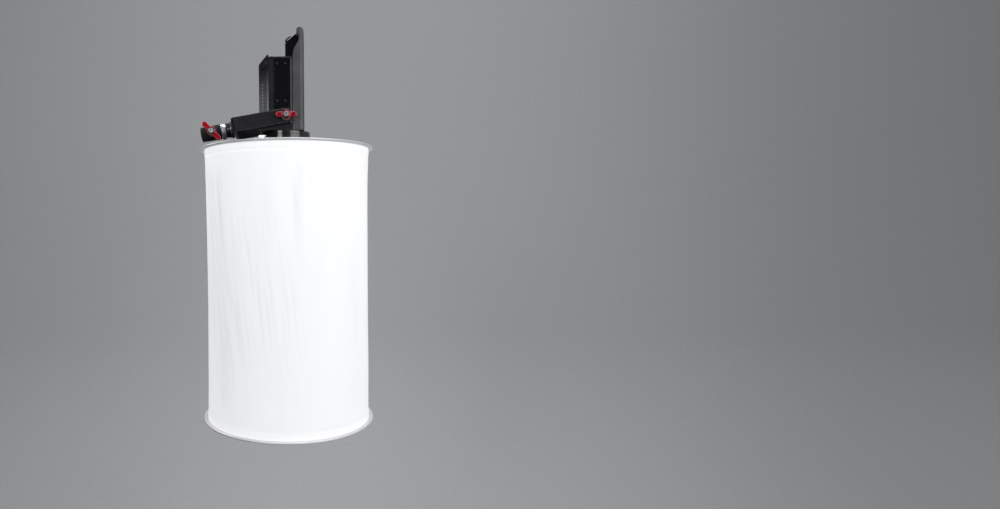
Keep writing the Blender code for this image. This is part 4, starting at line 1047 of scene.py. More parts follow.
# The black screws' head edges are painted lighter: a painted highlight.
BLACK_OXIDE = TurnedMetal("black_oxide_steel", "black_screw", (0.022, 0.022, 0.025), 0.36,
                          centre=PIVOT, aim=ACROSS, rim_highlight=5.0, metallic=0.8)
BRASS = TurnedMetal("turned_brass", "brass", (0.7, 0.48, 0.19), 0.28, centre=PIVOT, aim=ACROSS)
FIBRE = Plastic("red_brown_fibre_disc", "fibre", (0.13, 0.05, 0.03), 0.78, grain=1.2 * MM)
BLACK_PLASTIC = Plastic("black_moulded_plastic", "black_plastic", (0.018, 0.018, 0.02), 0.44)
CERAMIC = Plastic("white_ceramic_plate", "white_ceramic", (0.85, 0.85, 0.82), 0.5, grain=0.9 * MM)
WHITE_SILK = Cloth("white_silk_side", "white_silk", (0.5, 0.5, 0.505), 0.7, glow=0.75, fade=0.55)
WHITE_SILK_FLAT = replace(WHITE_SILK, name="white_silk_end", glow=0.74, fade=0.0, flat=True)
WHITE_TAPE = Cloth("white_tape_binding", "white_tape", (0.52, 0.52, 0.525), 0.75, thread=1.1 * MM,
                   glow=0.725, fade=0.55)
BLACK_CLOTH = Cloth("black_nylon_cloth", "black_cloth", (0.014, 0.014, 0.016), 0.82, thread=0.9 * MM,
                    flat=True)
GLASS = Glass("clear_cover_glass", "clear_glass", (0.9, 0.95, 0.94), 0.03)
BOARD = CircuitBoard("green_lacquered_board", "green_board", (0.02, 0.12, 0.05), 0.4)
PHOSPHOR = Phosphor("yellow_phosphor_gel", "phosphor", (0.9, 0.66, 0.16), 0.5)


@dataclass
class Assembly:
    """Base of the sub-assemblies: a home to draw in and the body that its pieces ride on."""

    home: Home = Home.HEAD
    body: str = "lamp"

    def piece(self, name: str, shape: Shape, *finishes: Finish, node: str = "", body: str = "",
              crease: float = 32 * DEG) -> Thing:
        """Turns a finished shape into a piece of the light.

        Args:
            name: The piece's name.
            shape: The shape, which is used up.
            finishes: Its finishes, one for each material number of its faces.
            node: The construction's node that it stands for, if it has one.
            body: The body that it rides on, when it isn't the sub-assembly's own.
            crease: The least angle that shows as a sharp line.

        Returns:
            The piece.
        """
        shape.tidy()
        shape.mesh.transform(self.home.matrix())
        mesh = bpy.data.meshes.new(name)
        shape.mesh.to_mesh(mesh)
        shape.mesh.free()
        mesh.shade_smooth()
        mesh.set_sharp_from_angle(angle=crease)
        for finish in finishes:
            mesh.materials.append(finish.material())
        thing = enter(name, mesh)
        even = thing.modifiers.new("even_shading", "WEIGHTED_NORMAL")
        even.keep_sharp = True
        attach(thing, body or self.body)
        if node:
            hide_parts(node)
        return thing

    def build(self) -> Things:
        """Builds the sub-assembly's pieces; each kind has its own."""
        raise NotImplementedError


@dataclass
class Yoke(Assembly):
    """Flat bar bent to a U, with its washers and the far pivot screw."""

    home: Home = Home.YOKE
    body: str = "yoke"
    width: float = 28.5 * MM
    thickness: float = 5 * MM
    arm_face: float = 51 * MM
    crossbar_x: float = 66.6 * MM
    outer_bend: float = 9 * MM
    inner_bend: float = 4 * MM
    edge: float = 1.2 * MM
    stud_hole: float = 3.2 * MM
    flute_start: float = 86 * MM
    flute_end: float = 152 * MM
    flute_low: float = 1.3 * MM
    flute_high: float = 9.2 * MM
    flute_depth: float = 0.8 * MM
    flute_bend: float = 2.6 * MM
    flute_edge: float = 0.35 * MM
    fibre_faces: Point = (49 * MM, 50.7 * MM)
    fibre_radius: float = 12 * MM
    steel_thickness: float = 1.8 * MM
    steel_radius: float = 10 * MM
    washer_edge: float = 0.3 * MM
    screw: Screw = Screw(8 * MM, 4.5 * MM, 3.9 * MM, 19.5 * MM, 48)

    def bar(self) -> Shape:
        """Draws the bent bar, with two long flutes in the outer face of each arm.

        Returns:
            The bar's shape.
        """
        outer = self.arm_face + self.thickness
        inner_x = self.crossbar_x + self.thickness
        end = SOCKET_TO_PIVOT + self.width
        half = self.width / 2
        corners = mirrored([(end, -outer, 0), (self.crossbar_x, -outer, self.outer_bend)])
        corners += mirrored([(end, self.arm_face, 0), (inner_x, self.arm_face, self.inner_bend)])
        bar = Shape().prism(rounded(corners, 10), -self.width, self.width)
        side = [(self.crossbar_x - half, -half)]
        side += arc((SOCKET_TO_PIVOT, 0), half, -90 * DEG, 90 * DEG, 36)
        side += [(self.crossbar_x - half, half)]
        bar.keep(Shape().prism(side, -outer - half, outer + half, Axis.Y))
        bar.soften(self.edge, 3, 60 * DEG)
        for face in (-outer, outer):
            out = math.copysign(1.0, face)
            for level in (-1, 1):
                rows = sorted((level * self.flute_low, level * self.flute_high))
                outline = rectangle(self.flute_start, self.flute_end, *rows, self.flute_bend, 6)
                depths = sorted((face - out * self.flute_depth, face + out * MM))
                bar.cut(Shape().prism(outline, *depths, Axis.Y))
        bar.soften(self.flute_edge, 2, 60 * DEG, lambda spot: abs(abs(spot.y) - outer) < 0.01 * MM)
        bar.drill(PIVOT_HOLE, -outer - half, outer + half, 40, (SOCKET_TO_PIVOT, 0, 0), ACROSS)
        return bar.drill(self.stud_hole, 0, SOCKET_TO_PIVOT, 28, aim=AHEAD)

    def washer(self, side: int, inner: float, outer: float, radius: float) -> Shape:
        """Returns a flat washer on the tilt axis, given its side, its two faces and its radius."""
        profile = collar(PIVOT_HOLE, radius, inner, outer, self.washer_edge)
        return Shape().lathe(profile, 56, (SOCKET_TO_PIVOT, 0, 0), (0, side, 0), bright=(1, 3))

    def build(self) -> Things:
        """Builds the bar, the far screw and the washers.

        Returns:
            The pieces.
        """
        outer = self.arm_face + self.thickness
        screw = self.screw.add_to(Shape(), (SOCKET_TO_PIVOT, outer + GAP, 0), ACROSS)
        steel = self.washer(-1, outer + GAP, outer + self.steel_thickness, self.steel_radius)
        made = [self.piece("yoke_bar", self.bar(), DARK_CAST, node="yoke"),
                self.piece("far_pivot_cap_screw", screw, BLACK_OXIDE, node="far_pivot_screw")]
        for side, word in SIDES:
            fibre = self.washer(side, *self.fibre_faces, self.fibre_radius)
            made.append(self.piece(f"fibre_washer_{word}", fibre, FIBRE, node=f"friction_washer_{word}"))
        made.append(self.piece("steel_tilt_washer", steel, PIVOT_STEEL, node="tilt_washer",
                               body="tilt_washer"))
        return made


@dataclass
class StandReceiver(Assembly):
    """Barrel that takes a stand's spigot, its sleeve and its screw."""

    home: Home = Home.YOKE
    body: str = "yoke"
    socket: float = 8.25 * MM
    socket_depth: float = 48 * MM
    radius: float = 15 * MM
    neck: float = 11 * MM
    neck_start: float = 41.7 * MM
    end: float = 66.3 * MM
    edge: float = 0.9 * MM
    groove: float = 0.5 * MM
    grooves: tuple[float, float, float] = (4 * MM, 7 * MM, 37 * MM)
    stud_hole: float = 3.2 * MM
    clamp_bore: float = 4.4 * MM
    rim: float = 17 * MM
    waist: float = 14.5 * MM
    seat: float = 71.9 * MM
    screw: Screw = Screw(5 * MM, 5.6 * MM, 2.9 * MM, 19.5 * MM)

    def barrel(self) -> Shape:
        """Draws the barrel with its socket, two grip grooves and the boss of the clamp screw.

        Returns:
            The barrel's shape.
        """
        edge, radius, floor = self.edge, self.radius, self.radius - self.groove
        profile = [(self.socket + edge, 0), (radius - edge, 0), (radius, edge)]
        for start in self.grooves:
            profile += [(radius, start), (floor, start + 0.3 * MM), (floor, start + 1.4 * MM),
                        (radius, start + 1.7 * MM)]
        profile += [(radius, self.neck_start - edge), (radius - edge, self.neck_start)]
        profile += [(self.neck, self.neck_start), (self.neck, self.end), (self.stud_hole, self.end)]
        profile += [(self.stud_hole, self.socket_depth), (self.socket, self.socket_depth)]
        profile.append((self.socket, edge))
        barrel = Shape().lathe(profile, 72, aim=AHEAD, bright=(1, 15))
        boss = mm((0, 11), (10.4, 11), (10, 15.5), (10, 18.4))
        boss += arc((8.6 * MM, 18.6 * MM), 1.4 * MM, 0, 90 * DEG, 5) + mm((0, 20))
        barrel.fuse(Shape().lathe(boss, 56, (CLAMP_X, 0, 0), NEAR, bright=range(4, 9)))
        return barrel.drill(self.clamp_bore, 4 * MM, 25 * MM, 36, (CLAMP_X, 0, 0), NEAR)

    def sleeve(self) -> Shape:
        """Draws the waisted sleeve between its two rims, which carry a painted highlight.

        Returns:
            The sleeve's shape.
        """
        low, bore, edge = self.neck_start + GAP, self.neck + GAP, 0.8 * MM
        half = [(bore, 0), (self.rim - edge, 0), (self.rim, edge), (self.rim, 5 * MM - edge),
                (self.rim - 0.5 * edge, 5 * MM), (self.waist, 9 * MM)]
        profile = [(radius, low + height) for radius, height in half]
        profile += [(radius, self.end - height) for radius, height in reversed(half)]
        return Shape().lathe(profile, 72, aim=AHEAD, bright=(1, 2, 3, 4, 7, 9))

    def build(self) -> Things:
        """Builds the barrel, the sleeve and the crossbar screw.

        Returns:
            The pieces.
        """
        screw = self.screw.add_to(Shape(), (self.seat, 0, 0), AHEAD)
        return [self.piece("socket_barrel", self.barrel(), DARK_CAST, node="receiver"),
                self.piece("barrel_sleeve", self.sleeve(), BARREL_METAL, node="receiver_collar"),
                self.piece("crossbar_screw", screw, BLACK_OXIDE, node="receiver_screw")]


@dataclass
class WingKnob(Assembly):
    """Two-winged knob on a steel screw, pointing along -Y of the yoke."""

    home: Home = Home.YOKE
    word: str = "tilt"
    x: float = SOCKET_TO_PIVOT
    hub_low: float = 58.1 * MM
    hub_high: float = 69.1 * MM
    reach: float = 20 * MM
    tilt: float = 0.0
    screw_tip: float = 37 * MM
    tip: float = 5.6 * MM
    pinch: float = 4 * MM
    wing_edge: float = 1.1 * MM
    groove_half: float = 2.2 * MM
    groove_depth: float = 1.3 * MM
    hub: float = 8.5 * MM
    hub_edge: float = 1.2 * MM
    well: float = 6.9 * MM
    well_depth: float = 1.8 * MM
    steel: Finish = PIVOT_STEEL

    def place(self, outline: Outline) -> Outline:
        """Turns an outline about the knob's axis by its tilt.

        Args:
            outline: The outline about the axis.

        Returns:
            The outline in the yoke's X and Z.
        """
        spin = Matrix.Rotation(self.tilt - YOKE_SLOPE, 2)
        turned = [spin @ Vector(point) for point in outline]
        return [(self.x + point.x, point.y) for point in turned]

    def knob(self) -> Shape:
        """Draws the hub with its two wings, each with a groove in its outer face.

        Returns:
            The knob's shape.
        """
        low, high = self.hub_low + 3.5 * MM, self.hub_high - 1.5 * MM
        reach, half, edge, brim = self.reach, self.groove_half, self.hub_edge, 0.4 * MM
        corners = mirrored([(-reach, -self.tip, 5 * MM), (0, -self.pinch, 30 * MM),
                            (reach, -self.tip, 5 * MM)])
        knob = Shape().prism(self.place(rounded(corners)), -high, -low, Axis.Y)
        knob.soften(self.wing_edge, 4, 60 * DEG)
        for side in (-1, 1):
            ends = sorted((side * (self.hub + 1.8 * MM), side * (reach - 3.2 * MM)))
            groove = self.place(rectangle(*ends, -half, half, half - 0.1 * MM))
            knob.cut(Shape().prism(groove, -high - MM, self.groove_depth - high, Axis.Y))
        knob.soften(0.3 * MM, 2, 60 * DEG, lambda spot: abs(spot.y + high) < 0.01 * MM)
        top, floor = self.hub_high, self.hub_high - self.well_depth
        hub = [(0, self.hub_low), (self.hub - brim, self.hub_low), (self.hub, self.hub_low + brim),
               (self.hub, top - edge)]
        hub += arc((self.hub - edge, top - edge), edge, 0, 90 * DEG, 5)
        hub += [(self.well + brim, top), (self.well, top - brim), (self.well, floor), (0, floor)]
        axis = (self.x, 0, 0)
        knob.fuse(Shape().lathe(hub, 56, axis, NEAR, bright=range(4, 9)))
        knob.drill(PIVOT_HOLE, self.hub_low - 2 * MM, top + 2 * MM, 40, axis, NEAR)
        # The faces of the well round the screw take black plastic: painted shade in the recess.
        for face in knob.mesh.faces:
            middle = face.calc_center_median()
            away = math.hypot(middle.x - self.x, middle.z)
            face.material_index = int(away < self.well + 0.05 * MM and -middle.y < top - brim - 0.05 * MM)
        return knob

    def build(self) -> Things:
        """Builds the knob and its screw.

        Returns:
            The pieces.
        """
        seat = self.hub_high + GAP
        screw = Screw(5 * MM, 2.6 * MM, 3.9 * MM, seat - self.screw_tip)
        shape = screw.add_to(Shape(), (self.x, -seat, 0), NEAR)
        return [self.piece(f"{self.word}_wing_knob", self.knob(), RED, BLACK_PLASTIC,
                           node=f"{self.word}_knob"),
                self.piece(f"{self.word}_knob_screw", shape, self.steel, node=f"{self.word}_screw")]


@dataclass
class LampBody(Assembly):
    """Panels, covers and frame of the lamp head, apart from its perforated side."""

    shell_back: float = -53 * MM
    panel_edge: float = -23 * MM
    seam_x: float = 13.3 * MM
    strip_x: float = 8.6 * MM
    spine_x: float = 36 * MM
    half_width: float = 47 * MM
    chassis_half: float = 43.7 * MM
    low: float = 31.3 * MM
    bezel_top: float = 43.3 * MM
    top: float = 170.2 * MM
    panel_face: float = 46.5 * MM
    port: float = 30 * MM
    spine_bend: float = 9 * MM
    fall_x: float = 4 * MM
    bush_bore: float = 8.4 * MM
    recess: float = 15 * MM
    bush_edge: float = 0.3 * MM
    panel_screw: Screw = Screw(2.1 * MM, 0.9 * MM, 1.0 * MM, 0.6 * MM, 24)

    def side_panel(self, side: int) -> Shape:
        """Draws a dark side panel, whose front strip falls to the seam beside the spine.

        Args:
            side: -1 for the near side, 1 for the far side.

        Returns:
            The panel's shape.
        """
        inner = self.chassis_half + GAP
        face, seam, pivot = self.panel_face, inner + 0.8 * MM, (0, 0, PIVOT_HEIGHT)
        strip = face - (face - seam) / (self.seam_x - self.fall_x) * (self.strip_x - self.fall_x)
        line = [(self.panel_edge, inner), (self.panel_edge, face), (self.fall_x, face),
                (self.strip_x, strip + 0.25 * MM), (self.seam_x, seam), (self.seam_x, inner)]
        panel = Shape().prism([(x, side * y) for x, y in line], self.bezel_top + GAP, self.top)
        for patch in panel.mesh.faces:
            middle = patch.calc_center_median()
            outside = abs(middle.y) > inner + 0.5 * MM and abs(patch.normal.z) < 0.5
            patch.material_index = int(middle.x > self.strip_x and outside)
        panel.soften(0.7 * MM, 3, 14 * DEG, lambda spot: abs(spot.y) > inner + 0.3 * MM)
        panel.drill(self.bush_bore, -60 * MM, 60 * MM, 48, pivot, ACROSS)
        low, high = face - 0.7 * MM, face + 2 * MM
        recess = [(0, low), (self.recess - 0.4 * MM, low), (self.recess, high), (0, high)]
        return panel.cut(Shape().lathe(recess, 64, pivot, (0, side, 0)))

    def spine_corners(self, inset: float = 0.0) -> Corners:
        """Returns the corners of the spine's section, drawn smaller by an inset."""
        low, high, half = self.seam_x + GAP, self.spine_x - inset, self.half_width - inset
        return mirrored([(low, -half, 0), (high, -half, self.spine_bend - inset)])

    def spine(self) -> Shape:
        """Draws the channel-shaped cover that runs the length of the lamp.

        Returns:
            The cover's shape.
        """
        cover = Shape().prism(rounded(self.spine_corners(), 14), self.low, self.top)
        cover.soften(0.5 * MM, 3, 60 * DEG)
        inner = [(a - (MM if bend == 0 else 0), b, bend) for a, b, bend in self.spine_corners(3 * MM)]
        return cover.cut(Shape().prism(rounded(inner, 10), self.low - MM, self.top + MM))

    def bezel(self) -> Shape:
        """Draws the front frame with the stepped light port and the tongue under the spine.

        Returns:
            The frame's shape.
        """
        half, tongue = self.half_width, self.spine_x - 3.3 * MM
        corners = mirrored([(self.shell_back, -half, 4 * MM), (self.seam_x, -half, 0),
                            (self.seam_x, -self.chassis_half, 0), (tongue, -self.chassis_half, 5.7 * MM)])
        bezel = Shape().prism(rounded(corners), self.low, self.bezel_top)
        bezel.soften(0.6 * MM, 3, 60 * DEG)
        ledge, opening = self.low + 1.4 * MM, self.port - 2.5 * MM
        port = [(0, self.low - MM), (opening, self.low - MM), (opening, ledge), (self.port, ledge),
                (self.port, self.bezel_top + MM), (0, self.bezel_top + MM)]
        return bezel.cut(Shape().lathe(port, 96))

    def bush(self, side: int) -> Shape:
        """Draws the flanged bush of one side's pivot.

        Args:
            side: -1 for the near side, 1 for the far side.

        Returns:
            The bush's shape.
        """
        barrel = mm((4.4, 36), (8, 36))
        flange = collar(8 * MM, 13 * MM, 46.8 * MM, 48.7 * MM, self.bush_edge)
        profile = barrel + flange[:-1] + mm((4.4, 48.7))
        return Shape().lathe(profile, 56, (0, 0, PIVOT_HEIGHT), (0, side, 0), bright=(3, 5))

    def panel_screws(self, side: int) -> Shape:
        """Draws the four small screws of one side's panel.

        Args:
            side: -1 for the near side, 1 for the far side.

        Returns:
            The screws' shape.
        """
        shape = Shape()
        for x in (-17 * MM, -1 * MM):
            for z in (88 * MM, 160 * MM):
                self.panel_screw.add_to(shape, (x, side * self.panel_face, z), (0, side, 0))
        return shape

    def build(self) -> Things:
        """Builds the covers, the bezel, the bushes and the panels' screws.

        Returns:
            The pieces.
        """
        made = [self.piece("top_spine_cover", self.spine(), SATIN_GREY, node="spine_cover"),
                self.piece("front_bezel", self.bezel(), DARK_CAST, node="bezel")]
        for side, word in SIDES:
            made += [self.piece(f"dark_panel_{word}", self.side_panel(side), BLUE_BLACK, PANEL_EDGE,
                                node=f"side_panel_{word}"),
                     self.piece(f"flanged_bush_{word}", self.bush(side), PIVOT_STEEL,
                                node=f"pivot_bush_{word}"),
                     self.piece(f"panel_screws_{word}", self.panel_screws(side), BLACK_OXIDE)]
        return made


@dataclass
class RearEnd(LampBody):
    """Slotted rear plate, cap, slanted block and power inlet at the lamp's upper end."""

    cap_top: float = 229.5 * MM
    foot: Point = (3 * MM, 205.4 * MM)
    head: Point = (20.6 * MM, 219.4 * MM)
    crest: float = 22.2 * MM
    block_half: float = 40 * MM
    trim_half: float = 37 * MM
    inlet_way: float = 11 * MM
    pins: int = 4
    pin_radius: float = 0.8 * MM
    slot_rows: int = 5
    slot_pitch: float = 5.6 * MM
    slot_half: float = 1.4 * MM
    plate_screw: Screw = Screw(2.1 * MM, 1.0 * MM, 1.0 * MM, 0.6 * MM, 24)

    def slant(self) -> tuple[Vector, Vector, Vector]:
        """Gives the slanted face in X and Z.

        Returns:
            Its lower end, its unit direction upwards and its outward normal.
        """
        low, high = Vector(self.foot), Vector(self.head)
        along = (high - low).normalized()
        return low, along, Vector((-along.y, along.x))

    def cap(self) -> Shape:
        """Draws the spine's rear end, cut to a leaning front under a round top.

        Returns:
            The cap's shape.
        """
        low = self.top + GAP
        line = [(self.seam_x + GAP, low, 0), (self.seam_x + GAP, 176 * MM, 4 * MM)]
        line += mm((15.7, 188, 9), (24.4, 202.4, 9), (26.2, 213.4, 3.4), (21, 221, 1.6))
        line += [(21 * MM, self.cap_top, 5.6 * MM), (34.6 * MM, self.cap_top, 7.5 * MM),
                 (self.spine_x, 214 * MM, 14 * MM), (self.spine_x, low, 0)]
        cap = Shape().prism(rounded(self.spine_corners(), 14), low, self.cap_top + 5 * MM)
        cap.keep(Shape().prism(rounded(line), -60 * MM, 60 * MM, Axis.Y))
        return cap.soften(0.6 * MM, 3, 50 * DEG)

    def block(self) -> Shape:
        """Draws the dark block that carries the slanted face.

        Returns:
            The block's shape.
        """
        low = self.top + 3.6 * MM
        foot, along, _ = self.slant()
        outline = [(-1 * MM, low), (-1 * MM, 200.4 * MM), tuple(foot), tuple(foot + along * self.crest)]
        outline += mm((25.7, 213), (24.0, 202.6), (15.3, 188.2), (13.2, 176)) + [(13.2 * MM, low)]
        block = Shape().prism(outline, -self.block_half, self.block_half, Axis.Y)
        return block.soften(1.3 * MM, 3, 25 * DEG)

    def trim(self) -> Shape:
        """Draws the thin bright plate on the slanted face.

        Returns:
            The plate's shape.
        """
        foot, along, normal = self.slant()
        spots = mm((0.6, 0.3), (21.4, 0.3), (21.4, 1.5), (0.6, 1.5))
        outline = [tuple(foot + along * way + normal * rise) for way, rise in spots]
        plate = Shape().prism(outline, -self.trim_half, self.trim_half, Axis.Y)
        return plate.soften(0.5 * MM, 3, 60 * DEG)

    def inlet_place(self) -> tuple[Vector, Vector]:
        """Finds the inlet's place on the slanted face.

        Returns:
            The centre of its foot and its outward direction.
        """
        foot, along, normal = self.slant()
        point = foot + along * self.inlet_way + normal * 1.8 * MM
        return Vector((point.x, 0, point.y)), Vector((normal.x, 0, normal.y))

    def inlet(self) -> Shape:
        """Draws the round panel connector with its flange, ring and deep socket.

        Returns:
            The connector's shape.
        """
        centre, aim = self.inlet_place()
        profile = mm((0, 0), (9.2, 0), (9.2, 1.2), (8.8, 1.6), (8.0, 1.6), (7.6, 2.0), (7.6, 8), (7.3, 8.3),
                     (7.3, 8.8), (7.6, 9.1), (7.6, 9.5), (7.1, 10), (6.2, 10), (5.8, 9.6), (5.8, 3), (0, 3))
        inlet = Shape().lathe(profile, 56, centre, aim, bright=(2, 10))
        key = Shape().prism(rectangle(-0.9 * MM, 0.9 * MM, 5.2 * MM, 6.8 * MM), 3 * MM, 10.6 * MM)
        key.mesh.transform(turned_to(aim, centre))
        return inlet.cut(key)

    def insert(self) -> Shape:
        """Draws the insulator in the socket with its four round-nosed pins.

        Returns:
            The insert's shape.
        """
        centre, aim = self.inlet_place()
        insert = Shape().lathe(mm((0, 3.3), (5.4, 3.3), (5.4, 4.7), (5.2, 4.9), (0, 4.9)), 40, centre, aim)
        radius, top = self.pin_radius, 4.8 * MM
        pin = [(0, 0), (radius, 0)] + arc((0, top - radius), radius, 0, 90 * DEG, 4)[:-1] + [(0, top)]
        for number in range(self.pins):
            spot = turned_to(aim, centre) @ polar(2.7 * MM, (45 + 90 * number) * DEG, 4.5 * MM)
            insert.fuse(Shape().lathe(pin, 20, spot, aim, bright=range(6)))
        return insert

    def plate(self) -> Shape:
        """Draws the rear plate with two rows of round-ended air slots.

        Returns:
            The plate's shape.
        """
        low = self.top + GAP
        outline = rectangle(-33.7 * MM, self.seam_x, -self.panel_face, self.panel_face)
        plate = Shape().prism(outline, low, low + 3 * MM)
        plate.soften(0.6 * MM, 3, 60 * DEG)
        slots, half = Shape(), self.slot_half
        for column in (-1, 1):
            for row in range(self.slot_rows):
                x = self.slot_pitch * row - 29 * MM
                ends = sorted((column * 4 * MM, column * 38 * MM))
                slot = rectangle(x - half, x + half, *ends, half - 0.05 * MM, 6)
                slots.prism(slot, low - MM, low + 5 * MM)
        return plate.cut(slots)

    def build(self) -> Things:
        """Builds the rear pieces and the plate's screws.

        Returns:
            The pieces.
        """
        screws = Shape()
        for x in (-28 * MM, 8 * MM):
            for y in (-42 * MM, 42 * MM):
                self.plate_screw.add_to(screws, (x, y, self.top + 3.3 * MM), UP)
        return [self.piece("rear_spine_cap", self.cap(), SATIN_GREY, node="rear_cap"),
                self.piece("slanted_block", self.block(), BLUE_BLACK, node="rear_housing"),
                self.piece("slant_trim_plate", self.trim(), BRIGHT_TRIM, node="rear_trim"),
                self.piece("inlet_connector", self.inlet(), BLACK_PLASTIC, node="power_inlet"),
                self.piece("inlet_contacts", self.insert(), BRASS, node="inlet_insert"),
                self.piece("slotted_rear_plate", self.plate(), DARK_CAST, node="rear_plate"),
                self.piece("rear_plate_screws", screws, BLACK_OXIDE)]


@dataclass
class GrilleShell(Assembly):
    """Perforated steel trough that the cooling air enters through."""

    back: float = -53 * MM
    edge_x: float = -34 * MM
    half: float = 46 * MM
    low: float = 43.6 * MM
    bend: float = 4 * MM
    slope_start: float = 157.5 * MM
    slope: float = 22.5 / 19
    tip: float = 177 * MM
    wall: float = 2 * MM
    hole_pitch: float = 4.5 * MM
    hole_rise: float = 6.6 * MM
    hole_share: float = 0.72
    first_hole: float = 50 * MM
    hole_rows: int = 31
    screw: Screw = Screw(2.4 * MM, 1.1 * MM, 1.2 * MM, 0.2 * MM, 24)

    def trough(self, inset: float, low: float) -> Shape:
        """Draws a long box with a sloped rear corner under a short flat top.

        Args:
            inset: How much smaller it is all round.
            low: Where it starts.

        Returns:
            The box's shape.
        """
        x, half, bend = self.back + inset, self.half - inset, self.bend - inset
        edge = self.edge_x + (4 * MM if inset else 0)
        box = Shape().prism(rounded(mirrored([(x, -half, bend), (edge, -half, 0)])), low, 190 * MM)
        rear, top = self.slope_start - inset * 0.45, self.tip - inset
        side = [(x - 5 * MM, low - MM), (x - 5 * MM, rear - 5 * MM * self.slope),
                (x + (top - rear) / self.slope, top), (0, top), (0, low - MM)]
        return box.keep(Shape().prism(side, -60 * MM, 60 * MM, Axis.Y))

    def spot(self, way: float) -> tuple[Vector, Vector, float]:
        """Finds a place on the shell's outer face.

        Args:
            way: The distance along the section from the middle of the back, towards +Y.

        Returns:
            The point and the outward direction in X and Y, and the bend's radius there, or 0.
        """
        side = math.copysign(1.0, way)
        flat, turn = self.half - self.bend, self.bend * math.pi / 2
        way = abs(way)
        if way <= flat:
            return Vector((self.back, side * way)), Vector((-1, 0)), 0.0
        if way < flat + turn:
            angle = (way - flat) / self.bend
            out = Vector((-math.cos(angle), side * math.sin(angle)))
            return Vector((self.back + self.bend, side * flat)) + self.bend * out, out, self.bend
        return Vector((self.back + self.bend + way - flat - turn, side * self.half)), Vector((0, side)), 0.0

    def punch(self, bars: Shape, way: float, z: float) -> None:
        """Adds the bar that punches one diamond hole, square to the face.

        Args:
            bars: The shape that takes the bar.
            way: The hole's place along the section, as in spot().
            z: Its height.
        """
        middle, out, bend = self.spot(way)
        along = Vector((-out.y, out.x))
        wide, tall = self.hole_share * self.hole_pitch / 2, self.hole_share * self.hole_rise / 2
        rings = []
        for depth in (0.5 * MM, -self.wall - 0.2 * MM):
            width = wide * (bend + depth) / bend if bend else wide
            centre = middle + out * depth
            corners = [centre - along * width, centre, centre + along * width, centre]
            levels = (z, z - tall, z, z + tall)
            rings.append([bars.mesh.verts.new((corner.x, corner.y, level))
                          for corner, level in zip(corners, levels)])
        bars.bridge(*rings)
        bars.mesh.faces.new(rings[0])
        bars.mesh.faces.new(rings[1])

    def shell(self) -> Shape:
        """Draws the trough and punches its field of holes, which runs round both corners.

        Returns:
            The shell's shape.
        """
        shell = self.trough(0.0, self.low)
        low, rim = self.low + MM, self.edge_x - MM
        shell.soften(0.9 * MM, 3, 18 * DEG, lambda spot: spot.z > low and spot.x < rim)
        shell.cut(self.trough(self.wall, self.low - 2 * MM))
        reach = self.half - self.bend + self.bend * math.pi / 2 + (self.edge_x - self.back - self.bend)
        count = int((reach - 1.6 * MM) / self.hole_pitch)
        bars = Shape()
        for row in range(self.hole_rows):
            shift = 0.5 * (row % 2)
            for number in range(-count, count + 1 - row % 2):
                height = self.first_hole + row * self.hole_rise / 2
                self.punch(bars, (number + shift) * self.hole_pitch, height)
        shell.cut(bars)
        # Inner faces take the darker paint: painted shade inside the holes.
        for face in shell.mesh.faces:
            middle = face.calc_center_median()
            inner = self.wall - 0.1 * MM
            deep = middle.x > self.back + inner and abs(middle.y) < self.half - inner
            inward = face.normal.dot(middle - Vector((self.edge_x, 0, 100 * MM))) < 0
            face.material_index = int(deep and inward)
        return shell

    def build(self) -> Things:
        """Builds the shell and its two rear screws.

        Returns:
            The pieces.
        """
        made = [self.piece("perforated_shell", self.shell(), GRILLE_STEEL, GRILLE_SHADE_INSIDE,
                           node="grille_shell")]
        for side, word in SIDES:
            place = (-39 * MM, side * (self.half + GAP), 160.5 * MM)
            shape = self.screw.add_to(Shape(), place, (0, side, 0))
            made.append(self.piece(f"shell_screw_{word}", shape, BLACK_OXIDE,
                                   node=f"grille_screw_{word}"))
        return made


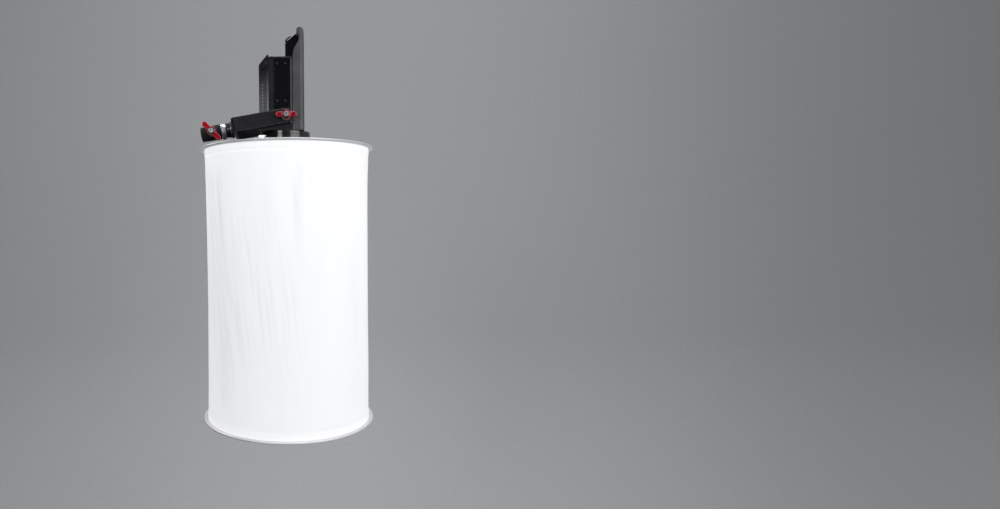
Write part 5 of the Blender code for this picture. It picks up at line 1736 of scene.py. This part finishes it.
@dataclass
class BayonetMount(Assembly):
    """Neck, bayonet ring and sprung release lever that carry the drum."""

    home: Home = Home.DRUM
    radius: float = 48.5 * MM
    low: float = 15.3 * MM
    high: float = 34.5 * MM
    wall: float = 44.5 * MM
    flange: float = 36 * MM
    edge: float = 0.8 * MM
    ring_bore: float = 40.3 * MM
    ring_faces: Point = (12 * MM, 15 * MM)
    gap_reach: Point = (38 * MM, 44.3 * MM)
    gap_width: float = 36 * DEG
    tab_lean: float = 0.45
    spring_wire: float = 0.5 * MM
    spring_radius: float = 2.2 * MM
    spring_ends: Point = (22.7 * MM, 27.4 * MM)
    spring_turns: int = 3
    screw: Screw = Screw(1.9 * MM, 1.0 * MM, 0.9 * MM, 0.6 * MM, 24)

    def neck(self) -> Shape:
        """Draws the gloss black ring, with the slot that the lever moves in.

        Returns:
            The ring's shape.
        """
        edge, radius, floor = self.edge, self.radius, 28 * MM
        profile = [(self.wall, self.low), (radius - edge, self.low)]
        profile += arc((radius - edge, self.low + edge), edge, -90 * DEG, 0, 4)
        profile += [(radius, floor - 0.4 * MM), (radius - 0.5 * MM, floor - 0.1 * MM),
                    (radius - 0.5 * MM, floor + 0.5 * MM), (radius, floor + 0.8 * MM)]
        profile += arc((radius - edge, self.high - edge), edge, 0, 90 * DEG, 4)
        profile += [(self.flange, self.high), (self.flange, floor), (self.wall, floor)]
        slot = Shape().prism(rectangle(40 * MM, 52 * MM, -3.6 * MM, 3.6 * MM), 19.4 * MM, 25.6 * MM)
        return Shape().lathe(profile, 144).cut(slot.turn(LEVER_ANGLE))

    def ring(self) -> Shape:
        """Draws the bayonet ring with its three gaps for the drum's lugs.

        Returns:
            The ring's shape.
        """
        low, high = self.ring_faces
        profile = collar(self.ring_bore, self.radius, low, high, self.edge / 2)
        gaps = Shape()
        for number in range(3):
            middle = LEVER_ANGLE + (60 + 120 * number) * DEG
            gaps.prism(sector(*self.gap_reach, middle, self.gap_width), low - MM, high + MM)
        return Shape().lathe(profile, 144, bright=(1, 3)).cut(gaps)

    def lever(self) -> Shape:
        """Draws the bent tab outside the neck, on the stem that reaches the pin.

        Returns:
            The lever's shape.
        """
        stem = mirrored(mm((39.6, -3, 1), (49.2, -3, 1.5), (49.2, -9, 2.5), (60, -9, 0)))
        lever = Shape().prism(rounded(stem, 5), 20 * MM, 22 * MM)
        tab = mm((-8, 11, 2), (8, 11, 2), (14, 25.2, 0.8), (-13, 29, 0.8))
        plate = Shape().prism(rounded(tab, 5), 59 * MM, 61.4 * MM, Axis.X)
        for corner in plate.mesh.verts:
            corner.co.x += (21 * MM - corner.co.z) * self.tab_lean
        lever.fuse(plate)
        lever.soften(0.5 * MM, 3, 60 * DEG)
        return lever.turn(LEVER_ANGLE)

    def spring(self) -> Shape:
        """Draws the small compression spring between the stem and the flange.

        Returns:
            The spring's shape.
        """
        (low, high), steps = self.spring_ends, 24
        centre, count = polar(LOCK_RADIUS, LEVER_ANGLE), steps * self.spring_turns
        points = [centre + polar(self.spring_radius, 2 * math.pi * step / steps,
                                 low + (high - low) * step / count) for step in range(count + 1)]
        return Shape().tube(points, self.spring_wire / 2)

    def build(self) -> Things:
        """Builds the mount, its lock and its screws.

        Returns:
            The pieces.
        """
        profile = mm((0, 15.9), (1.4, 15.9), (2, 16.5), (2, 19.7), (0, 19.7))
        pin = Shape().lathe(profile, 32, polar(LOCK_RADIUS, LEVER_ANGLE))
        screws = Shape()
        for number in range(4):
            self.screw.add_to(screws, polar(40.2 * MM, (80 + 90 * number) * DEG, 28 * MM), (0, 0, -1))
        made = [self.piece("gloss_neck", self.neck(), GLOSS_BLACK, node="mount_neck"),
                self.piece("bayonet_ring", self.ring(), MACHINED, node="bayonet_plate"),
                self.piece("release_tab", self.lever(), BRIGHT_TRIM, node="release_lever",
                           body="release"),
                self.piece("lock_plunger", pin, SPRUNG_STEEL, node="lock_pin", body="release"),
                self.piece("plunger_spring", self.spring(), SPRUNG_STEEL, node="lever_spring"),
                self.piece("neck_screws", screws, BLACK_OXIDE)]
        anchor = self.home.matrix() @ Vector((0, 0, 27.65 * MM))
        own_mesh(made[4])
        return made


@dataclass
class LightEngine(Assembly):
    """Glass, reflector and light source behind the front port."""

    glass_low: float = 33 * MM

    def build(self) -> Things:
        """Builds the glass, its ring, the reflector and the emitter.

        Returns:
            The pieces.
        """
        glass = collar(0, 29.4 * MM, self.glass_low, self.glass_low + 2.5 * MM, 0.4 * MM)
        ring = mm((25.6, 35.8), (29.4, 35.8), (29.4, 37.6), (26.4, 37.6), (25.6, 36.8))
        cone = mm((24.4, 37.9), (29.4, 37.9), (29.4, 38.9), (25.2, 38.9), (18.6, 43.2), (13.4, 48.4),
                  (12.4, 48.4), (17.8, 43.0))
        field = mm((0, 47.6), (10.6, 47.6), (11, 47.9), (11, 48.4), (0, 48.4))
        rows = (("front_cover_glass", glass, 96, GLASS, "cover_glass"),
                ("glass_clamp_ring", ring, 72, BLACK_PLASTIC, "glass_ring"),
                ("reflector_cone", cone, 72, LEVER_METAL, "reflector"),
                ("phosphor_field", field, 48, PHOSPHOR, "cob_emitter"))
        return [self.piece(name, Shape().lathe(profile, steps), finish, node=node)
                for name, profile, steps, finish, node in rows]


@dataclass(frozen=True)
class Fold:
    """A soft fold of the side cloth: its angle, drift and half width in degrees, its depth in millimetres
    and the shares of the drum's height that it starts and ends at."""

    angle: float
    drift: float
    depth: float
    width: float
    start: float
    end: float

    def inset(self, angle: float, depth: float) -> float:
        """Measures how far the fold draws the cloth in.

        Args:
            angle: The angle about the drum's axis.
            depth: How far down the drum, from 0 to 1.

        Returns:
            The distance.
        """
        middle = (self.angle + self.drift * depth) * DEG
        away = (angle - middle + math.pi) % (2 * math.pi) - math.pi
        along = smooth_step((depth - self.start + 0.1) / 0.2) * smooth_step((self.end + 0.1 - depth) / 0.2)
        return self.depth * MM * along * math.exp(-(away / (self.width * DEG)) ** 2)


FOLDS = [Fold(196, 26, 2.2, 5, 0.02, 1.0), Fold(208, 18, 2.0, 4, 0.05, 1.0), Fold(218, 10, 1.4, 4, 0.0, 0.8),
         Fold(277, -2, 1.7, 3, -0.02, 0.22), Fold(285, 1, 1.2, 3, -0.02, 0.18),
         Fold(318, 3, 1.0, 9, 0.35, 1.0), Fold(352, -5, 1.4, 8, 0.0, 0.7), Fold(24, 4, 1.8, 7, 0.1, 1.0),
         Fold(63, -6, 2.0, 8, 0.0, 0.9), Fold(101, 5, 1.7, 7, 0.2, 1.0), Fold(138, -4, 2.2, 8, 0.0, 1.0),
         Fold(172, 6, 2.0, 7, 0.0, 0.75)]


@dataclass
class Drum(Assembly):
    """Hoops, spokes, speed ring and cloths of the lantern."""

    home: Home = Home.DRUM
    radius: float = 175 * MM
    height: float = 545 * MM
    collar: float = 164 * MM
    cloth: float = 0.5 * MM
    top_edge: float = 2.3 * MM
    hem: float = 14.8 * MM
    travel: float = 490 * MM
    waist: float = 2.2 * MM
    ring_steps: int = 192
    rows: int = 110
    columns: int = 400
    hem_rows: int = 3
    deepest: float = 4.2 * MM
    tape: float = 0.62 * MM
    tape_end: float = 15.4 * MM
    tape_steps: int = 16
    cloth_rim: float = 162.5 * MM
    cloth_hole: float = 58.5 * MM
    roof_thickness: float = 1.2 * MM
    girth_radius: float = 166 * MM
    spokes: int = 4
    spoke_low: float = 2.3 * MM
    spoke_screw: Screw = Screw(3 * MM, 1.6 * MM, 1.4 * MM, 0.2 * MM, 28)

    def hoop(self, height: float, side: int) -> Shape:
        """Draws a hoop: a rolled rim, a ledge for the end cloth and a collar for the side cloth.

        Args:
            height: The level of its middle.
            side: 1 when the collar points down, -1 when it points up.

        Returns:
            The hoop's shape.
        """
        bead, edge = 1.95 * MM, 0.4 * MM
        section = [(self.collar + edge, -2 * MM)] + mm((169.4, -2), (170.2, -1.2))
        section += arc((self.radius - bead, 0), bead, -145 * DEG, 145 * DEG, 16)
        section += mm((170.2, 1.2), (169.4, 2), (163.4, 2), (163, 1.6), (163, 0), (156.3, 0), (156, -0.3),
                      (156, -1.7), (156.3, -2), (161.5, -2), (161.5, -14.1), (161.9, -14.5))
        section += [(self.collar - edge, -14.5 * MM), (self.collar, -14.1 * MM), (self.collar, -2.4 * MM)]
        profile = [(radius, height + side * level) for radius, level in section]
        return Shape().lathe(profile, self.ring_steps, bright=range(3, 19))

    def binding(self, height: float, side: int) -> Shape:
        """Draws the ribbed tape that binds the side cloth to a collar.

        Args:
            height: The level of the hoop's middle.
            side: 1 when the tape lies below it, -1 when above.

        Returns:
            The tape's shape.
        """
        inner, count = self.collar + 1.6 * MM, self.tape_steps
        near, far, rib = -self.top_edge, -self.tape_end, 0.18 * MM
        profile = [(inner, near)]
        for step in range(count + 1):
            share = min(1.0, 0.12 + (count - step) / 5)
            profile.append((inner + share * (self.tape + rib * math.cos(math.pi * step)),
                            near + (far - near) * step / count))
        profile.append((inner, far))
        return Shape().lathe([(radius, height + side * level) for radius, level in profile], self.ring_steps)

    def inset(self, angle: float, depth: float) -> float:
        """Measures how far the side cloth is drawn in.

        Args:
            angle: The angle about the drum's axis.
            depth: How far down the drum, from 0 to 1.

        Returns:
            The distance that the cloth lies inside the straight tube.
        """
        hold = smooth_step((depth - 0.03) / 0.1) * smooth_step((0.97 - depth) / 0.1)
        side = 0.5 - 0.5 * math.cos(angle - 20 * DEG)
        inset = self.waist * side * math.sin(math.pi * depth)
        inset += sum(fold.inset(angle, depth) for fold in FOLDS)
        spot = Vector((5 * math.cos(angle), 5 * math.sin(angle), 2.2 * depth))
        inset += 0.45 * MM * (noise.noise(spot) + 0.5 * noise.noise(spot * 2.7))
        return inset * hold

    def pucker(self, angle: float, depth: float) -> float:
        """Measures the small gathers beside the hoops, which fade out down the cloth.

        Args:
            angle: The angle about the drum's axis.
            depth: How far down the drum, from 0 to 1.

        Returns:
            The distance that they draw the cloth in.
        """
        near = math.exp(-depth / 0.045) + math.exp(-(1 - depth) / 0.045)
        start = smooth_step(depth / 0.02) * smooth_step((1 - depth) / 0.02)
        wave = noise.noise(Vector((26 * math.cos(angle), 26 * math.sin(angle), 3.1 * depth)))
        return 0.55 * MM * near * start * wave

    def side_cloth(self, first: float, last: float, count: int) -> tuple[Shape, list[float]]:
        """Draws a part of the cloth tube with its hanging folds, held straight at both hoops.

        Args:
            first: The depth that it starts at, from 0 at the top hoop to 1 at the bottom one.
            last: The depth that it ends at.
            count: Its number of rows of faces.

        Returns:
            The cloth's shape and the fold mark of each of its points.
        """
        top, bottom = -self.top_edge, -self.height + self.top_edge
        shape, marks, rows = Shape(), [], []
        for row in range(count + 1):
            depth = first + (last - first) * row / count
            points = []
            for angle in circle(self.columns):
                inset = self.inset(angle, depth) + self.pucker(angle, depth)
                radius = self.collar + 1.15 * MM - inset
                points.append(shape.mesh.verts.new(polar(radius, angle, top + (bottom - top) * depth)))
                marks.append(min(1.0, max(0.0, inset / self.deepest)))
            rows.append(points)
        return shape.skin(rows), marks

    def hang(self, name: str, first: float, last: float, count: int, body: str) -> Thing:
        """Hangs a part of the side cloth between the hoops.

        Args:
            name: The piece's name.
            first: The depth that it starts at, from 0 to 1.
            last: The depth that it ends at.
            count: Its number of rows of faces.
            body: The body that it rides on.

        Returns:
            The cloth piece.
        """
        shape, marks = self.side_cloth(first, last, count)
        cloth = self.sew(name, shape, WHITE_SILK, "side_silk", body, self.cloth)
        fold = cloth.data.attributes.new("fold", "FLOAT", "POINT")
        fold.data.foreach_set("value", marks)
        return cloth

    def silk(self) -> Things:
        """Hangs the side cloth: a middle part, and a held hem at each hoop.

        Returns:
            The hanging part, the upper hem and the lower hem.
        """
        seam = (self.hem - self.top_edge) / (self.height - 2 * self.top_edge)
        cloth = self.hang("side_silk_cloth", seam, 1 - seam, self.rows, "lamp")
        upper = self.hang("side_silk_upper_hem", 0.0, seam, self.hem_rows, "lamp")
        lower = self.hang("side_silk_lower_hem", 1 - seam, 1.0, self.hem_rows, "lower_hoop")
        anchor = self.home.matrix() @ Vector((0, 0, -self.hem))
        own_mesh(cloth)
        return [cloth, upper, lower]

    def end_cloth(self, inner: float, level: float, sag: float) -> Shape:
        """Draws a flat end cloth, stretched from a hoop's ledge, with faint pulls towards the rim.

        Args:
            inner: Its inner radius, or 0 for a whole disc.
            level: Its height at the rim.
            sag: How far its middle hangs down.

        Returns:
            The cloth's shape.
        """
        shape, rings, rows = Shape(), [], 26
        for row in range(rows + 1):
            share = row / rows
            radius = inner + (self.cloth_rim - inner) * share
            ring = []
            for angle in circle(self.ring_steps if radius else 1):
                dip = sag * smooth_step(1 - share) if not inner else sag * math.sin(math.pi * share)
                pull = noise.noise(Vector((19 * math.cos(angle), 19 * math.sin(angle), 2 * share)))
                dip += 0.5 * MM * pull * smooth_step(1.25 * share) * math.sin(math.pi * share)
                ring.append(shape.mesh.verts.new(polar(radius, angle, level - dip)))
            rings.append(ring)
        return shape.skin(rings)

    def sew(self, name: str, shape: Shape, finish: Finish, node: str, body: str,
            thickness: float) -> Thing:
        """Turns a cloth's shape into a piece with a thickness.

        Args:
            name: The piece's name.
            shape: The cloth's shape.
            finish: Its finish.
            node: The construction's node that it stands for.
            body: The body that it rides on.
            thickness: How thick the cloth is.

        Returns:
            The cloth piece.
        """
        cloth = self.piece(name, shape, finish, node=node, body=body, crease=90 * DEG)
        cloth.modifiers.clear()
        thick = cloth.modifiers.new("thickness", "SOLIDIFY")
        thick.thickness = thickness
        thick.offset = 0.0
        return cloth

    def spoke(self, angle: float) -> Shape:
        """Draws a sprung steel bar with a pressed rib and a rivet on the hoop's ledge.

        Args:
            angle: Its angle about the drum's axis.

        Returns:
            The bar's shape.
        """
        low = self.spoke_low
        outline = rectangle(49 * MM, 162.4 * MM, -6 * MM, 6 * MM, 5.5 * MM, 12)
        bar = Shape().prism(outline, low, low + 2.2 * MM)
        bar.soften(0.45 * MM, 2, 60 * DEG)
        rib = [(-2.5 * MM, low + 2 * MM), (2.5 * MM, low + 2 * MM)]
        rib += [(2.2 * math.cos(turn * DEG) * MM, low + (2.1 + 1.3 * math.sin(turn * DEG)) * MM)
                for turn in range(0, 181, 20)]
        bar.fuse(Shape().prism(rib, 66 * MM, 150 * MM, Axis.X))
        rivet = [(0, 1 * MM), (3 * MM, 1 * MM), (3 * MM, 2.4 * MM)]
        rivet += [(3 * math.cos(turn * DEG) * MM, (2.4 + 0.7 * math.sin(turn * DEG)) * MM)
                  for turn in (20, 40, 60, 75)] + [(0, 3.1 * MM)]
        bar.fuse(Shape().lathe(rivet, 28, (158.4 * MM, 0, low), bright=range(3, 8)))
        return bar.turn(angle)

    def speed_ring(self) -> Shape:
        """Draws the ring that locks the drum to the neck, with its three lugs.

        Returns:
            The ring's shape.
        """
        profile = mm((36.6, -2), (69.6, -2), (70, -1.6), (70, -0.4), (69.6, 0), (58, 0), (58, 1.6))
        profile += mm((57.6, 2), (48, 2), (48, 11.3), (47.6, 11.7), (39.9, 11.7))
        profile += mm((39.9, 18.2), (39.5, 18.6), (36.6, 18.6))
        ring = Shape().lathe(profile, 144, bright=(1, 3, 6, 9, 12))
        lugs = Shape()
        for number in range(3):
            middle = LEVER_ANGLE + 120 * number * DEG
            lugs.prism(sector(39 * MM, 43.9 * MM, middle, 30 * DEG), 15.6 * MM, 18.5 * MM)
        ring.fuse(lugs)
        return ring.drill(2.5 * MM, 14 * MM, 20 * MM, 28, polar(LOCK_RADIUS, LEVER_ANGLE))

    def build(self) -> Things:
        """Builds the drum and its cloths.

        Returns:
            The pieces.
        """
        made = [self.piece("upper_hoop", self.hoop(0.0, 1), HOOP_SILVER, node="top_hoop"),
                self.piece("lower_hoop_ring", self.hoop(-self.height, -1), HOOP_SILVER,
                           node="bottom_hoop", body="lower_hoop"),
                self.piece("drum_speed_ring", self.speed_ring(), MACHINED, node="speed_ring")]
        upper = self.piece("upper_tape", self.binding(0.0, 1), WHITE_TAPE, node="top_binding")
        lower = self.piece("lower_tape", self.binding(-self.height, -1), WHITE_TAPE,
                           node="bottom_binding", body="lower_hoop")
        cloth, upper_hem, lower_hem = self.silk()
        floor = self.sew("bottom_silk_cloth", self.end_cloth(0.0, -self.height - 0.9 * MM, 2.5 * MM),
                         WHITE_SILK_FLAT, "bottom_silk", "lower_hoop", self.cloth)
        roof = self.sew("top_black_cloth", self.end_cloth(self.cloth_hole, 1.15 * MM, 0.8 * MM), BLACK_CLOTH,
                        "top_panel", "lamp", self.roof_thickness)
        made += [upper, lower, cloth, upper_hem, lower_hem, floor, roof]
        for number in range(self.spokes):
            angle, place = (45 + 90 * number) * DEG, number + 1
            screw = self.spoke_screw.add_to(Shape(), polar(55 * MM, angle, 4.8 * MM), UP)
            made += [self.piece(f"sprung_spoke_{place}", self.spoke(angle), SPRUNG_STEEL,
                                node=f"spoke_{place}"),
                     self.piece(f"spoke_cap_screw_{place}", screw, LEVER_METAL,
                                node=f"spoke_screw_{place}")]
        return made


@dataclass
class Carried(Assembly):
    """The construction's own solids that stay in view, with their finishes."""

    def build(self) -> Things:
        """Dresses the solids whose shape is already right.

        Returns:
            The dressed nodes.
        """
        finishes = {"chassis": DARK_CAST, "heat_sink": EXTRUDED, "fan_frame": BLACK_PLASTIC,
                    "fan_rotor": BLACK_PLASTIC, "driver_board": BOARD, "cob_board": CERAMIC,
                    "clamp_shoe": BRASS}
        made = []
        for name, finish in finishes.items():
            node = frame["nodes"][name]
            node.data.materials.clear()
            node.data.materials.append(finish.material())
            made.append(node)
        return made


@dataclass
class Studio:
    """Grey sweep, soft lights and the camera at the photograph's viewing angle."""

    floor: float = -1.6
    back: float = 2.1
    front: float = -0.45
    width: float = 4.5
    bend: float = 0.8
    height: float = 2.6
    lens: float = 21.156
    eye: tuple[float, float, float] = (0.1726, -1.2112, -0.1826)
    pitch: float = -0.0517
    roll: float = 0.0083
    shift: float = 0.2127

    def sweep(self) -> Thing:
        """Makes the floor that curves up into a backdrop.

        Returns:
            The sweep.
        """
        line = [(self.front, self.floor)]
        line += arc((self.back - self.bend, self.floor + self.bend), self.bend, -90 * DEG, 0, 24)
        line += [(self.back, self.height)]
        shape = Shape()
        rows = [[shape.mesh.verts.new((x, y, z)) for y, z in line] for x in (-self.width, self.width)]
        shape.bridge(rows[0], rows[1], closed=False)
        shape.tidy()
        mesh = bpy.data.meshes.new("studio_sweep")
        shape.mesh.to_mesh(mesh)
        shape.mesh.free()
        mesh.shade_smooth()
        recipe = Recipe("pale_sweep_paper")
        grain = recipe.noise(recipe.place(), 60, 4)
        tint = recipe.blend(recipe.level(grain, 0.3, 0.7), (0.68, 0.685, 0.695), (0.71, 0.715, 0.725))
        recipe.set(base_color=tint, roughness=0.9)
        mesh.materials.append(recipe.material)
        sweep = enter("studio_sweep", mesh)
        return sweep

    def light(self, name: str, spot: Place, aim: Place, size: float, power: float, tall: float = 1.0,
              spread: float = 120 * DEG) -> None:
        """Adds a soft box.

        Args:
            name: Its name.
            spot: Where it stands.
            aim: The point that it faces.
            size: Its width.
            power: Its power in watts.
            tall: Its height as a share of its width.
            spread: The full angle of its beam, which a honeycomb narrows.
        """
        data = bpy.data.lights.new(name, "AREA")
        data.shape = "RECTANGLE"
        data.spread = spread
        data.size, data.size_y = size, size * tall
        data.energy = power
        lamp = enter(name, data)
        lamp.location = spot
        lamp.rotation_euler = (Vector(aim) - Vector(spot)).to_track_quat("-Z", "Y").to_euler()

    def camera(self) -> None:
        """Sets up the camera."""
        data = bpy.data.cameras.new("photo_view")
        data.sensor_width, data.lens, data.shift_x = 36.0, self.lens, self.shift
        data.clip_end = 50
        eye = enter("photo_view", data)
        turn = Matrix.Rotation(90 * DEG + self.pitch, 4, "X") @ Matrix.Rotation(-self.roll, 4, "Z")
        eye.matrix_world = Matrix.Translation(self.eye) @ turn
        bpy.context.scene.camera = eye

    def air(self) -> None:
        """Lights the world softly, dimmer from the left and from below."""
        world = bpy.data.worlds.new("studio_air")
        world.use_nodes = True
        nodes = Nodes(world.node_tree)
        way = nodes.parts(nodes.node("ShaderNodeTexCoord").outputs["Generated"])
        sideways = nodes.level(way[0], -0.6, 0.5, 0.05, 0.42)
        upwards = nodes.level(way[2], -0.3, 0.2, 0.35, 1.0)
        sky = nodes.tree.nodes["Background"]
        nodes.feed(sky.inputs["Color"], (0.96, 0.975, 1.0))
        nodes.feed(sky.inputs["Strength"], nodes.times(sideways, upwards))
        bpy.context.scene.world = world

    def build(self) -> None:
        """Builds the stage, its light and the camera."""
        self.camera()
        self.sweep()
        self.air()
        middle = (0.17, 0.0, -0.2)
        self.light("key", (1.72, -1.7, 0.2), middle, 1.9, 7.5, tall=0.54)
        self.light("fill", (-1.0, -2.0, 0.5), middle, 0.8, 4)
        self.light("side", (-1.15, 1.0, 0.95), (0.13, 0.0, 0.0), 0.7, 4)
        self.light("over", (0.3, -0.1, 1.9), middle, 0.9, 3, spread=90 * DEG)
        self.light("wall", (0.8, -0.4, 3.1), (0.9, 2.1, 0.4), 3.2, 16, tall=0.5, spread=140 * DEG)
        view = bpy.context.scene.view_settings
        view.view_transform = "Standard"
        view.look = "None"


def main() -> None:
    """Builds the studio and the light's sub-assemblies in order, and reports each piece."""
    logging.basicConfig(level=logging.INFO, format="%(name)s: %(message)s")
    Studio().build()
    clamp = WingKnob(body="clamp_knob", word="clamp", x=CLAMP_X, hub_low=23 * MM, hub_high=35 * MM,
                     reach=24 * MM, tilt=-44.6 * DEG, screw_tip=11.5 * MM, steel=CLAMP_STEEL)
    assemblies = [Carried(), Yoke(), StandReceiver(), clamp, WingKnob(body="tilt_knob"), LampBody(),
                  RearEnd(), GrilleShell(), LightEngine(), BayonetMount(), Drum()]
    for assembly in assemblies:
        for piece in assembly.build():
            log.info("%s: %s rides on %s, %d faces", type(assembly).__name__, piece.name,
                     piece["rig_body"], len(piece.data.polygons))


if __name__ == "__main__":
    main()
